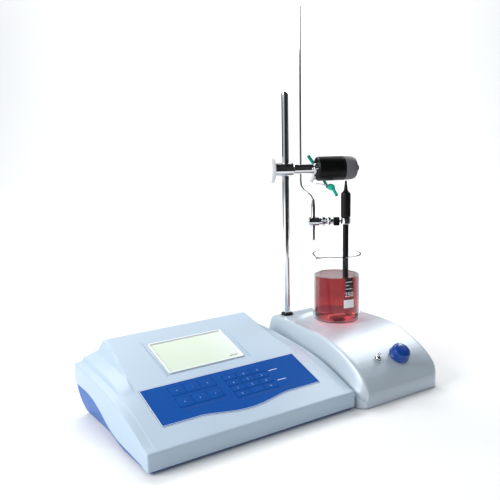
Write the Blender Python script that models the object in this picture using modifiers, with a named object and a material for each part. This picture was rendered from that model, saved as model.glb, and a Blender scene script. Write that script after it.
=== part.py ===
"""Benchtop pH meter with its magnetic stirrer, stand, electrode, titration valve and beaker.

Lengths are written in millimetres times MM. Places are first given in the bench frame, whose origin
is the meter's front left corner on the bench (X along its front edge, Y to the back, Z up), and
spot() moves them to the middle of the footprint.
"""
import math

import bmesh
import bpy
from mathutils import Matrix, Vector

MM = 0.001
FOOTPRINT_MID = Vector((218.25 * MM, 105.85 * MM, 0.0))
GAP = 0.3 * MM

# meter
METER_W = 290.6 * MM
METER_D = 213.9 * MM
WALL = 3.0 * MM
FOOT_H = 1.9 * MM
BASE_BOTTOM = 2.2 * MM
JOINT_LINE = 0.6 * MM
PANEL_Z0 = 24.2 * MM
KEY_TILT = math.atan(0.3686)
HUMP_TILT = math.radians(17.58)
KEYPAD_Y0 = 30.0 * MM
KEYPAD_LENGTH = 64.4 * MM
KEYPAD_WIDTH = 224.0 * MM
KEYPAD_BULGE = 9.0 * MM
KEYPAD_RECESS = 2.0 * MM
KEY_RISE = 0.5 * MM
KEY_THICK = 1.6 * MM
KEY_GAP = 0.35 * MM
WINDOW_X = (84.0 * MM, 195.0 * MM)
WINDOW_Y0 = 109.0 * MM
WINDOW_LENGTH = 66.0 * MM
RECESS_X = (78.0 * MM, 203.0 * MM)
RECESS_Y = (103.0 * MM, 179.0 * MM)
RECESS_DEPTH = 1.6 * MM
BACK_WALL_Y = METER_D - 1.2 * MM
SOCKET_Z = 24.0 * MM

# stirrer
STIR_LEFT = 293.0 * MM
STIR_CREASE = 305.0 * MM
STIR_RIGHT = 436.5 * MM
STIR_FRONT = -10.0 * MM
STIR_BACK = 203.0 * MM
PLATE_Z = 74.9 * MM
POCKET_BACK = 176.0 * MM
POCKET_CURVE = 130.0 * MM
KNOB_SPOT = (382.0 * MM, 14.5 * MM, 47.9 * MM)
TOGGLE_SPOT = (346.0 * MM, 17.5 * MM, 49.9 * MM)
FACE_TILT = math.radians(33.0)
TOGGLE_LEAN = math.radians(11.0)

# stand and arm
ROD_X = 325.2 * MM
ROD_Y = 189.0 * MM
ROD_R = 5.0 * MM
ROD_TOP = 408.0 * MM
ROD_BOTTOM = 8.0 * MM
ARM_Z = 296.5 * MM
ARM_YAW = math.radians(-24.0)
BENT_U = 22.7 * MM
BENT_R = 1.5 * MM
BENT_TOP = 526.9 * MM
SPOUT_LEAN = math.radians(30.0)
TAB_LEAN = math.radians(141.0)
LOWER_ROD = (353.5 * MM, 160.4 * MM)
LOWER_ROD_R = 3.0 * MM
LOWER_ROD_Z = (192.5 * MM, 254.0 * MM)
CLAMP_Z = 220.6 * MM

# electrode and beaker
ELECTRODE = (390.4 * MM, 130.7 * MM)
BEAKER = (376.6 * MM, 134.8 * MM)
BEAKER_R = 34.0 * MM
BEAKER_H = 99.6 * MM
GLASS = 2.0 * MM
LIQUID_TOP = 142.5 * MM
STIR_BAR_LENGTH = 25.0 * MM
STIR_BAR_R = 3.5 * MM

ROUND = 28
SMALL_ROUND = 16


# ------------------------------------------------------------------ helpers

def spot(x, y, z):
    """A place in the bench frame, moved to the frame about the footprint's middle."""
    return Vector((x, y, z)) - FOOTPRINT_MID


def start_scene():
    """Remove every object and make the collections for parts and cutters."""
    for thing in list(bpy.data.objects):
        bpy.data.objects.remove(thing)
    made = []
    for name in ("ph_meter", "cutters"):
        group = bpy.data.collections.new(name)
        bpy.context.scene.collection.children.link(group)
        made.append(group)
    return made


PARTS, CUTTERS = start_scene()


def finish(name, rgb, roughness, metallic=0.0, transmission=0.0):
    """A Principled material of one colour."""
    made = bpy.data.materials.new(name)
    made.use_nodes = True
    shader = made.node_tree.nodes["Principled BSDF"]
    shader.inputs["Base Color"].default_value = (*rgb, 1.0)
    shader.inputs["Roughness"].default_value = roughness
    shader.inputs["Metallic"].default_value = metallic
    shader.inputs["Transmission Weight"].default_value = transmission
    return made


SHELL_GREY = finish("shell_grey", (0.56, 0.67, 0.78), 0.45)
SHELL_BLUE = finish("shell_blue", (0.05, 0.2, 0.6), 0.4)
PAD_BLUE = finish("pad_blue", (0.012, 0.07, 0.33), 0.4)
FRAME_WHITE = finish("frame_white", (0.85, 0.88, 0.9), 0.4)
LCD_GREEN = finish("lcd_green", (0.7, 0.8, 0.66), 0.3)
STIRRER_SILVER = finish("stirrer_silver", (0.55, 0.64, 0.72), 0.35, 0.3)
CHROME = finish("chrome", (0.75, 0.77, 0.8), 0.12, 1.0)
STEEL = finish("steel", (0.6, 0.6, 0.62), 0.3, 1.0)
BLACK = finish("black_plastic", (0.012, 0.012, 0.014), 0.4)
GREY_CAP = finish("grey_cap", (0.09, 0.09, 0.1), 0.5)
RUBBER = finish("rubber", (0.03, 0.03, 0.03), 0.8)
KNOB_BLUE = finish("knob_blue", (0.012, 0.06, 0.3), 0.25)
KNOB_WHITE = finish("knob_white", (0.85, 0.86, 0.86), 0.35)
TEAL = finish("teal", (0.01, 0.42, 0.28), 0.35)
GLASS_CLEAR = finish("glass", (0.95, 0.98, 1.0), 0.02, 0.0, 1.0)
LIQUID_RED = finish("liquid_red", (0.35, 0.01, 0.015), 0.05, 0.0, 0.8)
PTFE = finish("ptfe", (0.9, 0.9, 0.9), 0.5)


def add(name, mesh, material, place=(0.0, 0.0, 0.0), turn=(0.0, 0.0, 0.0), group=PARTS):
    """An object made from a mesh or a curve, placed and coloured."""
    made = bpy.data.objects.new(name, mesh)
    made.location = place
    made.rotation_euler = turn
    if material:
        mesh.materials.append(material)
    group.objects.link(made)
    return made


def smooth(thing, angle=35.0):
    """Smooth shading that keeps edges sharper than the angle."""
    thing.data.shade_smooth()
    thing.data.set_sharp_from_angle(angle=math.radians(angle))


def mesh_from(name, bm):
    """A mesh from a bmesh with its doubles merged and faces out."""
    bmesh.ops.remove_doubles(bm, verts=bm.verts, dist=1e-6)
    bmesh.ops.recalc_face_normals(bm, faces=bm.faces)
    mesh = bpy.data.meshes.new(name)
    bm.to_mesh(mesh)
    bm.free()
    return mesh


def bevel(thing, width, segments=2, angle=40.0):
    """Rounded edges where faces meet at more than the angle."""
    made = thing.modifiers.new("edges", "BEVEL")
    made.width = width
    made.segments = segments
    made.limit_method = "ANGLE"
    made.angle_limit = math.radians(angle)
    return thing


def box(name, size, material, place, turn=(0.0, 0.0, 0.0), edge=0.0, group=PARTS):
    """A box of the size, about its middle."""
    bm = bmesh.new()
    bmesh.ops.create_cube(bm, size=1.0)
    bmesh.ops.scale(bm, vec=size, verts=bm.verts)
    made = add(name, mesh_from(name, bm), material, place, turn, group)
    if edge:
        bevel(made, edge)
    return made


def drum(name, radius, bottom, top, place, turn=(0.0, 0.0, 0.0), sides=ROUND):
    """A round cutter from bottom to top along its own Z."""
    bm = bmesh.new()
    middle = Matrix.Translation((0.0, 0.0, (bottom + top) / 2))
    bmesh.ops.create_cone(bm, cap_ends=True, segments=sides, radius1=radius, radius2=radius,
                          depth=top - bottom, matrix=middle)
    return add(name, mesh_from(name, bm), None, place, turn, CUTTERS)


def turned(name, profile, material, place, turn=(0.0, 0.0, 0.0), sides=ROUND, group=PARTS):
    """A profile of (radius, height) points from the top down its outer side, turned about Z."""
    mesh = bpy.data.meshes.new(name)
    points = [(r, 0.0, z) for r, z in profile]
    mesh.from_pydata(points, [(n, n + 1) for n in range(len(points) - 1)], [])
    made = add(name, mesh, material, place, turn, group)
    lathe = made.modifiers.new("lathe", "SCREW")
    lathe.axis = "Z"
    lathe.angle = math.tau
    lathe.steps = sides
    lathe.render_steps = sides
    lathe.use_merge_vertices = True
    lathe.merge_threshold = 0.00001
    lathe.use_smooth_shade = True
    return made


def bar(name, points, radius, material, kind="BEZIER", resolution=3, fine=4):
    """A round bar of the radius along the points, made a mesh with its caps welded on."""
    curve = bpy.data.curves.new(name, "CURVE")
    curve.dimensions = "3D"
    curve.bevel_depth = radius
    curve.bevel_resolution = resolution
    curve.resolution_u = fine
    curve.use_fill_caps = True
    line = curve.splines.new(kind)
    if kind == "BEZIER":
        line.bezier_points.add(len(points) - 1)
        for knot, where in zip(line.bezier_points, points):
            knot.co = where
            knot.handle_left_type = "AUTO"
            knot.handle_right_type = "AUTO"
    else:
        line.points.add(len(points) - 1)
        for knot, where in zip(line.points, points):
            knot.co = (*where, 1.0)
    guide = bpy.data.objects.new(name + "_guide", curve)
    CUTTERS.objects.link(guide)
    bpy.context.view_layer.update()
    seen = guide.evaluated_get(bpy.context.evaluated_depsgraph_get())
    mesh = bpy.data.meshes.new_from_object(seen)
    place = guide.matrix_world.copy()
    bpy.data.objects.remove(guide)
    bm = bmesh.new()
    bm.from_mesh(mesh)
    bmesh.ops.remove_doubles(bm, verts=bm.verts, dist=1e-6)
    bm.to_mesh(mesh)
    bm.free()
    mesh.materials.clear()
    made = add(name, mesh, material)
    made.matrix_world = place
    smooth(made)
    return made


def hide(tool):
    """Keep a cutter out of sight."""
    for group in list(tool.users_collection):
        group.objects.unlink(tool)
    CUTTERS.objects.link(tool)
    tool.hide_render = True
    tool.display_type = "WIRE"


def cut(thing, tool, how="DIFFERENCE"):
    """Take the tool out of the thing, or join it on with UNION."""
    step = thing.modifiers.new(how.lower(), "BOOLEAN")
    step.operation = how
    step.solver = "EXACT"
    step.object = tool
    hide(tool)
    return thing


def axle(name, place, holder=None):
    """An empty on a joint's axis, riding on the holder's empty if it has one."""
    made = bpy.data.objects.new(name, None)
    made.empty_display_size = 10 * MM
    made.location = place
    PARTS.objects.link(made)
    if holder:
        made.parent = holder
        made.matrix_parent_inverse = Matrix.Translation(-Vector(holder["place"]))
    made["place"] = Vector(place)
    return made


def carry(holder, *things):
    """Put things on a joint's empty without moving them."""
    for thing in things:
        thing.parent = holder
        thing.matrix_parent_inverse = Matrix.Translation(-Vector(holder["place"]))


def between(x, points):
    """The height at x on a smooth line through (x, height) points."""
    if x <= points[0][0]:
        return points[0][1]
    if x >= points[-1][0]:
        return points[-1][1]
    for (x0, z0), (x1, z1) in zip(points, points[1:]):
        if x0 <= x <= x1:
            return z0 + (z1 - z0) * (x - x0) / (x1 - x0)


def ease(t):
    """A step from 0 to 1 with soft ends."""
    t = min(max(t, 0.0), 1.0)
    return t * t * (3.0 - 2.0 * t)


def height_block(name, rows, columns, top, bottom, material, group=PARTS):
    """A closed block over a grid: columns(y) gives a row's x places, top(x, y) its upper surface and
    bottom(y) its lower one. The grid is loft faces, because the upper surface is a free form."""
    bm = bmesh.new()
    upper, lower = [], []
    for y in rows:
        line = columns(y)
        upper.append([bm.verts.new(spot(x, y, top(x, y))) for x in line])
        lower.append([bm.verts.new(spot(x, y, bottom(y))) for x in (line[0], line[-1])])
    for j in range(len(rows) - 1):
        near, far = upper[j], upper[j + 1]
        for i in range(len(near) - 1):
            bm.faces.new((near[i], near[i + 1], far[i + 1], far[i]))
        bm.faces.new((near[0], far[0], lower[j + 1][0], lower[j][0]))
        bm.faces.new((near[-1], lower[j][1], lower[j + 1][1], far[-1]))
        bm.faces.new((lower[j][0], lower[j + 1][0], lower[j + 1][1], lower[j][1]))
    bm.faces.new([*upper[0], lower[0][1], lower[0][0]])
    bm.faces.new([*reversed(upper[-1]), lower[-1][0], lower[-1][1]])
    made = add(name, mesh_from(name, bm), material, group=group)
    smooth(made, 30.0)
    return made


def scaled(points):
    """Points in millimetres as lengths."""
    return [(a * MM, b * MM) for a, b in points]


# ------------------------------------------------------------------ meter housing

EDGE_LINE = scaled([(0, 23.4), (8, 27.1), (25, 33.9), (45, 41.6), (58.5, 46.2), (75, 50.6),
                    (91, 53.8), (110, 56.6), (135, 59.4), (170, 62.8), (205, 65.2), (214, 64.2)])
DECK_LINE = scaled([(92, 58.1), (104, 62.3), (118, 65.6), (135, 68.6), (152, 70.8), (186, 73.6),
                    (214, 74.6)])
HOUSING_ROWS = [n * MM for n in (0, 8, 18, 30, 45, 60, 75, 91, 92.2, 104, 118, 135, 152, 170, 186,
                                 197, 199.3, 202, 206, 210, 213.9)]
SKIRT_LINE = scaled([(0, 4.2), (55, 4.2), (70, 4.7), (85, 6.6), (98, 10.6), (112, 17.5), (125, 25.0),
                     (140, 31.8), (155, 36.2), (175, 38.6), (214, 38.6)])
DECK_SHAPE = scaled([(0, 0), (4, 60), (10.5, 160), (13.5, 450), (22, 740), (29, 1000)])


def cover_top(x, y):
    """Height of the meter's upper surface: sloped side decks with a ridge, and a raised middle."""
    side = min(x, METER_W - x)
    front = PANEL_Z0 + 0.3686 * y
    inner = front if y <= 92 * MM else between(y, DECK_LINE)
    edge = between(y, EDGE_LINE)
    deck = edge + (inner - edge) * between(side, DECK_SHAPE)
    panel = front
    if y > 92 * MM:
        panel = 57.55 * MM + (y - 90.4 * MM) * math.tan(HUMP_TILT)
    if y > 199.3 * MM:
        panel = between(y, scaled([(199.3, 92.05), (202, 91.2), (206, 86.5), (210, 80.5), (214, 74.6)]))
    return deck + (panel - deck) * ease((side - 29 * MM) / (8 * MM))


def cover_inside(x, y):
    """The lower side of the cover's wall: the lowest upper surface within a wall's width."""
    near = [cover_top(x + dx, y + dy) for dx in (-WALL, 0.0, WALL) for dy in (-WALL, 0.0, WALL)]
    return min(near) - WALL


def mirrored(places, width):
    """Places from the left edge and the same ones from the right edge."""
    return places + [width / 2] + [width - x for x in reversed(places)]


def meter_cover():
    """Upper housing: a thin shell with a display opening and a recess for the keypad."""
    lines = mirrored([n * MM for n in (0, 4, 10.5, 13.5, 22, 29, 31, 33, 35, 37)], METER_W)
    cover = height_block("top_cover", HOUSING_ROWS, lambda y: lines, cover_top,
                         lambda y: between(y, SKIRT_LINE), SHELL_GREY)
    bevel(cover, 1.2 * MM, 1, 62.0)
    inner_rows = [n * MM for n in (3, 30, 60, 88, 104, 118, 150, 190, 197, 203, 210.9)]
    inner_lines = mirrored([n * MM for n in (3, 12, 24, 31, 36, 41)], METER_W)
    cut(cover, height_block("cover_hollow", inner_rows, lambda y: inner_lines, cover_inside,
                            lambda y: -10 * MM, None, CUTTERS))
    cut(cover, keypad_plate("keypad_recess", 0.0, -KEYPAD_RECESS, 20 * MM, None, CUTTERS))
    cut(cover, display_box("display_recess", RECESS_X, RECESS_Y, 0.0, 20 * MM))
    cut(cover, display_box("display_opening", WINDOW_X, WINDOW_RANGE, -20 * MM, 20 * MM))
    return cover


def tray_ring(inset, share):
    """One level of the base's side: row by row its left and right points, inset from the footprint.
    share runs from 0 at the floor to 1 at the joint line under the cover."""
    ring = []
    for y in HOUSING_ROWS:
        place = inset + (METER_D - 2 * inset) * y / METER_D
        top = between(y, SKIRT_LINE) - JOINT_LINE
        z = BASE_BOTTOM + (top - BASE_BOTTOM) * share
        ring.append((spot(inset, place, z), spot(METER_W - inset, place, z)))
    return ring


def meter_base():
    """Lower housing: a tray whose sides curve under to the floor, open at the top."""
    bm = bmesh.new()
    levels = [(1.4, 1.0), (1.9, 0.62), (3.0, 0.33), (5.2, 0.12), (8.5, 0.0)]
    rings = []
    for inset, share in levels:
        ring = tray_ring(inset * MM, share)
        rings.append([(bm.verts.new(left), bm.verts.new(right)) for left, right in ring])
    for upper, lower in zip(rings, rings[1:]):
        for j in range(len(upper) - 1):
            for side in (0, 1):
                bm.faces.new((upper[j][side], upper[j + 1][side], lower[j + 1][side], lower[j][side]))
        for j in (0, -1):
            bm.faces.new((upper[j][0], upper[j][1], lower[j][1], lower[j][0]))
    for ring in (rings[0], rings[-1]):
        for j in range(len(ring) - 1):
            bm.faces.new((ring[j][0], ring[j][1], ring[j + 1][1], ring[j + 1][0]))
    base = add("base_shell", mesh_from("base_shell", bm), SHELL_BLUE)
    smooth(base, 40.0)
    hollow = box("base_hollow", (METER_W - 11 * MM, METER_D - 11 * MM, 60 * MM), None,
                 spot(METER_W / 2, METER_D / 2, 44.1 * MM), group=CUTTERS)
    floor_cut = box("floor_hollow", (METER_W - 26 * MM, 108 * MM, 60 * MM), None,
                    spot(METER_W / 2, 142 * MM, 34.6 * MM), group=CUTTERS)
    cut(base, hollow)
    cut(base, floor_cut)
    for name, x, radius in SOCKETS:
        cut(base, drum(name + "_hole", radius + GAP, -10 * MM, 10 * MM,
                       spot(x, BACK_WALL_Y, SOCKET_Z), (math.pi / 2, 0.0, 0.0), SMALL_ROUND))
    cut(base, box("rocker_hole", (19.6 * MM, 20 * MM, 13.6 * MM), None,
                  spot(ROCKER_X, BACK_WALL_Y, SOCKET_Z), group=CUTTERS))
    return base


# ------------------------------------------------------------------ display and keypad

WINDOW_RANGE = (WINDOW_Y0, WINDOW_Y0 + WINDOW_LENGTH * math.cos(HUMP_TILT))
FLOOR_TILT = HUMP_TILT + math.atan(RECESS_DEPTH / (RECESS_Y[1] - RECESS_Y[0]))


def display_box(name, across, along, low, high, material=None, group=CUTTERS, shrink=0.0):
    """A box square to the display's tilted floor, from low to high above that floor."""
    reach = (along[1] - along[0]) / math.cos(FLOOR_TILT)
    back = spot(0.0, RECESS_Y[1], cover_top(METER_W / 2, RECESS_Y[1]))
    tilt = Matrix.Rotation(FLOOR_TILT, 4, "X")
    middle_y = ((along[0] + along[1]) / 2 - RECESS_Y[1]) / math.cos(FLOOR_TILT)
    place = back + Vector(((across[0] + across[1]) / 2, 0.0, 0.0))
    place += tilt @ Vector((0.0, middle_y, (low + high) / 2))
    size = (across[1] - across[0] - 2 * shrink, reach - 2 * shrink, high - low)
    return box(name, size, material, place, (FLOOR_TILT, 0.0, 0.0), group=group)


def display():
    """White frame in the opening, with the liquid crystal panel inside it."""
    frame = display_box("display_frame", WINDOW_X, WINDOW_RANGE, -3.2 * MM, 0.8 * MM, FRAME_WHITE,
                        PARTS, GAP)
    bevel(frame, 0.5 * MM, 1)
    hole = display_box("frame_hole", WINDOW_X, WINDOW_RANGE, -10 * MM, 10 * MM, shrink=4.0 * MM)
    cut(frame, hole)
    display_box("lcd_panel", WINDOW_X, WINDOW_RANGE, -6.0 * MM, -0.2 * MM, LCD_GREEN, PARTS,
                4.0 * MM + GAP)


def keypad_outline(inset):
    """Outline of the keypad on its plane, with its front edge bowed out between two straight ends."""
    half = KEYPAD_WIDTH / 2 - inset
    straight = 0.56 * half
    points = [(half, KEYPAD_LENGTH - inset), (-half, KEYPAD_LENGTH - inset), (-half, inset)]
    steps = 12
    for n in range(steps + 1):
        x = -straight + 2 * straight * n / steps
        bow = KEYPAD_BULGE * math.cos(math.pi / 2 * x / straight) ** 1.5 if n not in (0, steps) else 0.0
        points.append((x, inset - bow))
    points.append((half, inset))
    return points


KEYPAD_PLACE = spot(METER_W / 2, KEYPAD_Y0, PANEL_Z0 + 0.3686 * KEYPAD_Y0)


def keypad_plate(name, inset, low, high, material, group=PARTS):
    """The keypad's outline drawn up from low to high, square to its plane."""
    bm = bmesh.new()
    face = bm.faces.new([bm.verts.new((x, y, low)) for x, y in keypad_outline(inset)])
    drawn = bmesh.ops.extrude_face_region(bm, geom=[face])
    moved = [v for v in drawn["geom"] if isinstance(v, bmesh.types.BMVert)]
    bmesh.ops.translate(bm, vec=(0.0, 0.0, high - low), verts=moved)
    return add(name, mesh_from(name, bm), material, KEYPAD_PLACE, (KEY_TILT, 0.0, 0.0), group)


def key_grid():
    """Each key's middle on the keypad's plane and its size: a block of two rows and one of four."""
    places = []
    for y in (76.3, 57.0):
        for x in (76.5, 97.3, 118.1):
            places.append((x, y, 18.4, 15.6))
    for y in (76.0, 65.9, 55.8, 45.7):
        for x in (149.5, 170.5, 191.5):
            places.append((x, y, 18.4, 8.6))
    middle = METER_W / 2 / MM
    return [((x - middle) * MM, (y * MM - KEYPAD_Y0) / math.cos(KEY_TILT), w * MM, h * MM)
            for x, y, w, h in places]


def keypad():
    """Membrane plate with an opening for each key, and the keys that travel in them."""
    plate = keypad_plate("keypad_overlay", GAP, GAP - KEYPAD_RECESS, 0.0, PAD_BLUE)
    holes = bmesh.new()
    tilt = Matrix.Rotation(KEY_TILT, 4, "X")
    for number, (x, y, w, h) in enumerate(key_grid(), 1):
        place = KEYPAD_PLACE + tilt @ Vector((x, y, KEY_RISE - KEY_THICK / 2))
        key = box("key_%02d" % number, (w, h, KEY_THICK), PAD_BLUE, place, (KEY_TILT, 0.0, 0.0))
        bevel(key, 0.4 * MM, 1)
        opening = Matrix.Translation((x, y, 0.0)) @ Matrix.Diagonal(
            (w + 2 * KEY_GAP, h + 2 * KEY_GAP, 20 * MM, 1.0))
        bmesh.ops.create_cube(holes, size=1.0, matrix=opening)
    cutter = add("key_openings", mesh_from("key_openings", holes), None, KEYPAD_PLACE,
                 (KEY_TILT, 0.0, 0.0), CUTTERS)
    cut(plate, cutter)


# ------------------------------------------------------------------ feet and sockets

ROCKER_X = 228.0 * MM
ROCKER_LEAN = math.radians(6.0)
SOCKETS = (("power_socket", 252.0 * MM, 6.0 * MM), ("electrode_socket", 62.0 * MM, 6.0 * MM),
           ("probe_socket", 86.0 * MM, 5.0 * MM))


def feet_and_sockets():
    """Rubber feet under the meter, and its rear sockets and power switch."""
    pad = [(0.0, FOOT_H), (7 * MM, FOOT_H), (6.4 * MM, 0.0), (0.0, 0.0)]
    for side, x in (("left", 26 * MM), ("right", METER_W - 26 * MM)):
        for end, y in (("front", 26 * MM), ("back", 186 * MM)):
            turned("meter_foot_%s_%s" % (end, side), pad, RUBBER, spot(x, y, 0.0), sides=SMALL_ROUND)
    shapes = {
        "power_socket": [(2.6, 1.2), (5.6, 1.2), (6.0, 0.8), (6.0, -9.0), (0, -9.0), (0, -7.0),
                         (2.6, -7.0), (2.6, 1.2)],
        "electrode_socket": [(3.4, 9.0), (4.7, 9.0), (4.7, 2.6), (6.0, 2.4), (6.0, -8.0), (0, -8.0),
                             (0, -1.0), (3.4, -1.0), (3.4, 9.0)],
        "probe_socket": [(2.2, 1.0), (4.6, 1.0), (5.0, 0.6), (5.0, -9.0), (0, -9.0), (0, -7.0),
                         (2.2, -7.0), (2.2, 1.0)],
    }
    finishes = {"power_socket": BLACK, "electrode_socket": STEEL, "probe_socket": BLACK}
    for name, x, radius in SOCKETS:
        outline = scaled(shapes[name])
        turned(name, outline, finishes[name], spot(x, BACK_WALL_Y, SOCKET_Z),
               (-math.pi / 2, 0.0, 0.0), SMALL_ROUND)
    rocker_axle = axle("rocker_axle", spot(ROCKER_X, BACK_WALL_Y - 2 * MM, SOCKET_Z))
    rocker = box("power_rocker", (18.8 * MM, 7.0 * MM, 12.2 * MM), BLACK,
                 spot(ROCKER_X, BACK_WALL_Y - 1.5 * MM, SOCKET_Z), (ROCKER_LEAN, 0.0, 0.0))
    bevel(rocker, 1.2 * MM, 2)
    carry(rocker_axle, rocker)


# ------------------------------------------------------------------ stirrer

FACE_LINE = scaled([(-10, 17.9), (-9.2, 21.0), (-7.5, 25.5), (-5, 29.5), (0, 36.3), (6, 41.8),
                    (12, 46.5), (19, 50.9), (26, 54.6), (34, 58.4), (42, 61.9), (50, 65.1),
                    (58, 67.8), (66, 70.1), (74, 71.9), (82, 73.3), (92, 74.4), (105, 74.9),
                    (134, 74.9), (138, 77.5), (144, 78.0), (196, 78.0), (200, 77.2), (202, 75.6),
                    (203, 73.0)])
FLANK_SHAPE = [(0.0, 0.40), (0.25, 0.47), (0.5, 0.62), (0.75, 0.83), (1.0, 0.985), (1.2, 1.0)]


def stirrer_left(y):
    """The left wall's place, which turns in towards the front corner."""
    return between(y, scaled([(-10, 302.0), (-7.5, 299.0), (-5, 296.6), (0, 294.0), (6, 293.0)]))


def stirrer_right(y):
    """The right wall's place, rounded at the front corner."""
    return between(y, scaled([(-10, 428.0), (-9.2, 431.0), (-7.5, 433.3), (-5, 435.0), (0, 436.2),
                              (6, 436.5)]))


def stirrer_columns(y):
    """Places across the stirrer: over its sloped left flank, then over the top to the right wall."""
    left, right = stirrer_left(y), stirrer_right(y)
    flank = [left + (STIR_CREASE - left) * q for q in (0.0, 0.25, 0.5, 0.75, 1.0)]
    top = [STIR_CREASE + (right - STIR_CREASE) * q for q in (0.02, 0.5, 0.94, 0.98, 1.0)]
    return flank + top


def stirrer_top(x, y):
    """Height of the stirrer's housing: its curved front and flat top, with a sloped left flank."""
    left, right = stirrer_left(y), stirrer_right(y)
    height = between(y, FACE_LINE)
    across = (x - left) / (STIR_CREASE - left)
    height *= between(across, FLANK_SHAPE)
    edge = 1.0 - min(max((right - x) / (6 * MM), 0.0), 1.0)
    return height - 2.5 * MM * edge ** 2


def stirrer_inside(x, y):
    """The lower side of the stirrer's wall."""
    near = [stirrer_top(x + dx, y + dy) for dx in (-WALL, 0.0, WALL) for dy in (-WALL, 0.0, WALL)]
    return min([PLATE_Z, *near]) - WALL


def plate_pocket():
    """Cutter for the shallow pocket that the beaker stands in, with a bowed back edge."""
    left, right, front = STIR_CREASE + 1.5 * MM, STIR_RIGHT + 5 * MM, 104 * MM
    middle = (STIR_CREASE + STIR_RIGHT) / 2
    outline = [(left, front), (right, front)]
    steps = 14
    for n in range(steps + 1):
        x = right + (left - right) * n / steps
        outline.append((x, POCKET_BACK - (x - middle) ** 2 / POCKET_CURVE))
    bm = bmesh.new()
    face = bm.faces.new([bm.verts.new(spot(x, y, PLATE_Z)) for x, y in outline])
    drawn = bmesh.ops.extrude_face_region(bm, geom=[face])
    moved = [v for v in drawn["geom"] if isinstance(v, bmesh.types.BMVert)]
    bmesh.ops.translate(bm, vec=(0.0, 0.0, 20 * MM), verts=moved)
    return add("plate_pocket", mesh_from("plate_pocket", bm), None, group=CUTTERS)


def stirrer_housing():
    """Housing of the magnetic stirrer, open underneath, with holes for the rod and the controls."""
    rows = [n * MM for n in (-10, -9.2, -7.5, -5, 0, 6, 12, 19, 26, 34, 42, 50, 58, 66, 74, 82, 92,
                             105, 134, 138, 144, 196, 200, 202, 203)]
    housing = height_block("stirrer_housing", rows, stirrer_columns, stirrer_top,
                           lambda y: 1.2 * MM, STIRRER_SILVER)
    inner_rows = [n * MM for n in (-6, 0, 8, 20, 36, 52, 70, 90, 149, 162, 200)]

    def inner_columns(y):
        left, right = stirrer_left(y) + WALL, stirrer_right(y) - WALL
        return [left, left + 4 * MM, STIR_CREASE, STIR_CREASE + 5 * MM, right - 4 * MM, right]

    cut(housing, height_block("stirrer_hollow", inner_rows, inner_columns, stirrer_inside,
                              lambda y: -5 * MM, None, CUTTERS))
    cut(housing, plate_pocket())
    cut(housing, drum("rod_hole", ROD_R + GAP, 50 * MM, 100 * MM, spot(ROD_X, ROD_Y, 0.0)))
    cut(housing, drum("knob_hole", 3.4 * MM, -20 * MM, 20 * MM, spot(*KNOB_SPOT),
                      (FACE_TILT, 0.0, 0.0), SMALL_ROUND))
    cut(housing, drum("toggle_hole", 3.4 * MM, -20 * MM, 20 * MM, spot(*TOGGLE_SPOT),
                      (FACE_TILT, 0.0, 0.0), SMALL_ROUND))
    return housing


def stirrer_base():
    """Floor plate of the stirrer with four moulded pads and a cup that holds the rod's foot."""
    width = STIR_RIGHT - STIR_CREASE - 10 * MM
    depth = STIR_BACK - STIR_FRONT - 16 * MM
    middle = ((STIR_CREASE + STIR_RIGHT) / 2 - 1 * MM, (STIR_BACK + STIR_FRONT) / 2 + 1 * MM)
    plate = box("stirrer_base_plate", (width, depth, 2.4 * MM), STEEL, spot(*middle, 4.6 * MM))
    for dx in (-1, 1):
        for dy in (-1, 1):
            across = middle[0] + dx * (width / 2 - 14 * MM)
            place = spot(across, middle[1] + dy * (depth / 2 - 14 * MM), 0.0)
            cut(plate, drum("pad", 7 * MM, 0.0, 4.6 * MM, place, sides=SMALL_ROUND), "UNION")
    cut(plate, drum("cup", 9 * MM, 4.6 * MM, 24 * MM, spot(ROD_X, ROD_Y, 0.0)), "UNION")
    cut(plate, drum("cup_bore", ROD_R + GAP, ROD_BOTTOM - GAP, 40 * MM, spot(ROD_X, ROD_Y, 0.0)))


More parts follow.
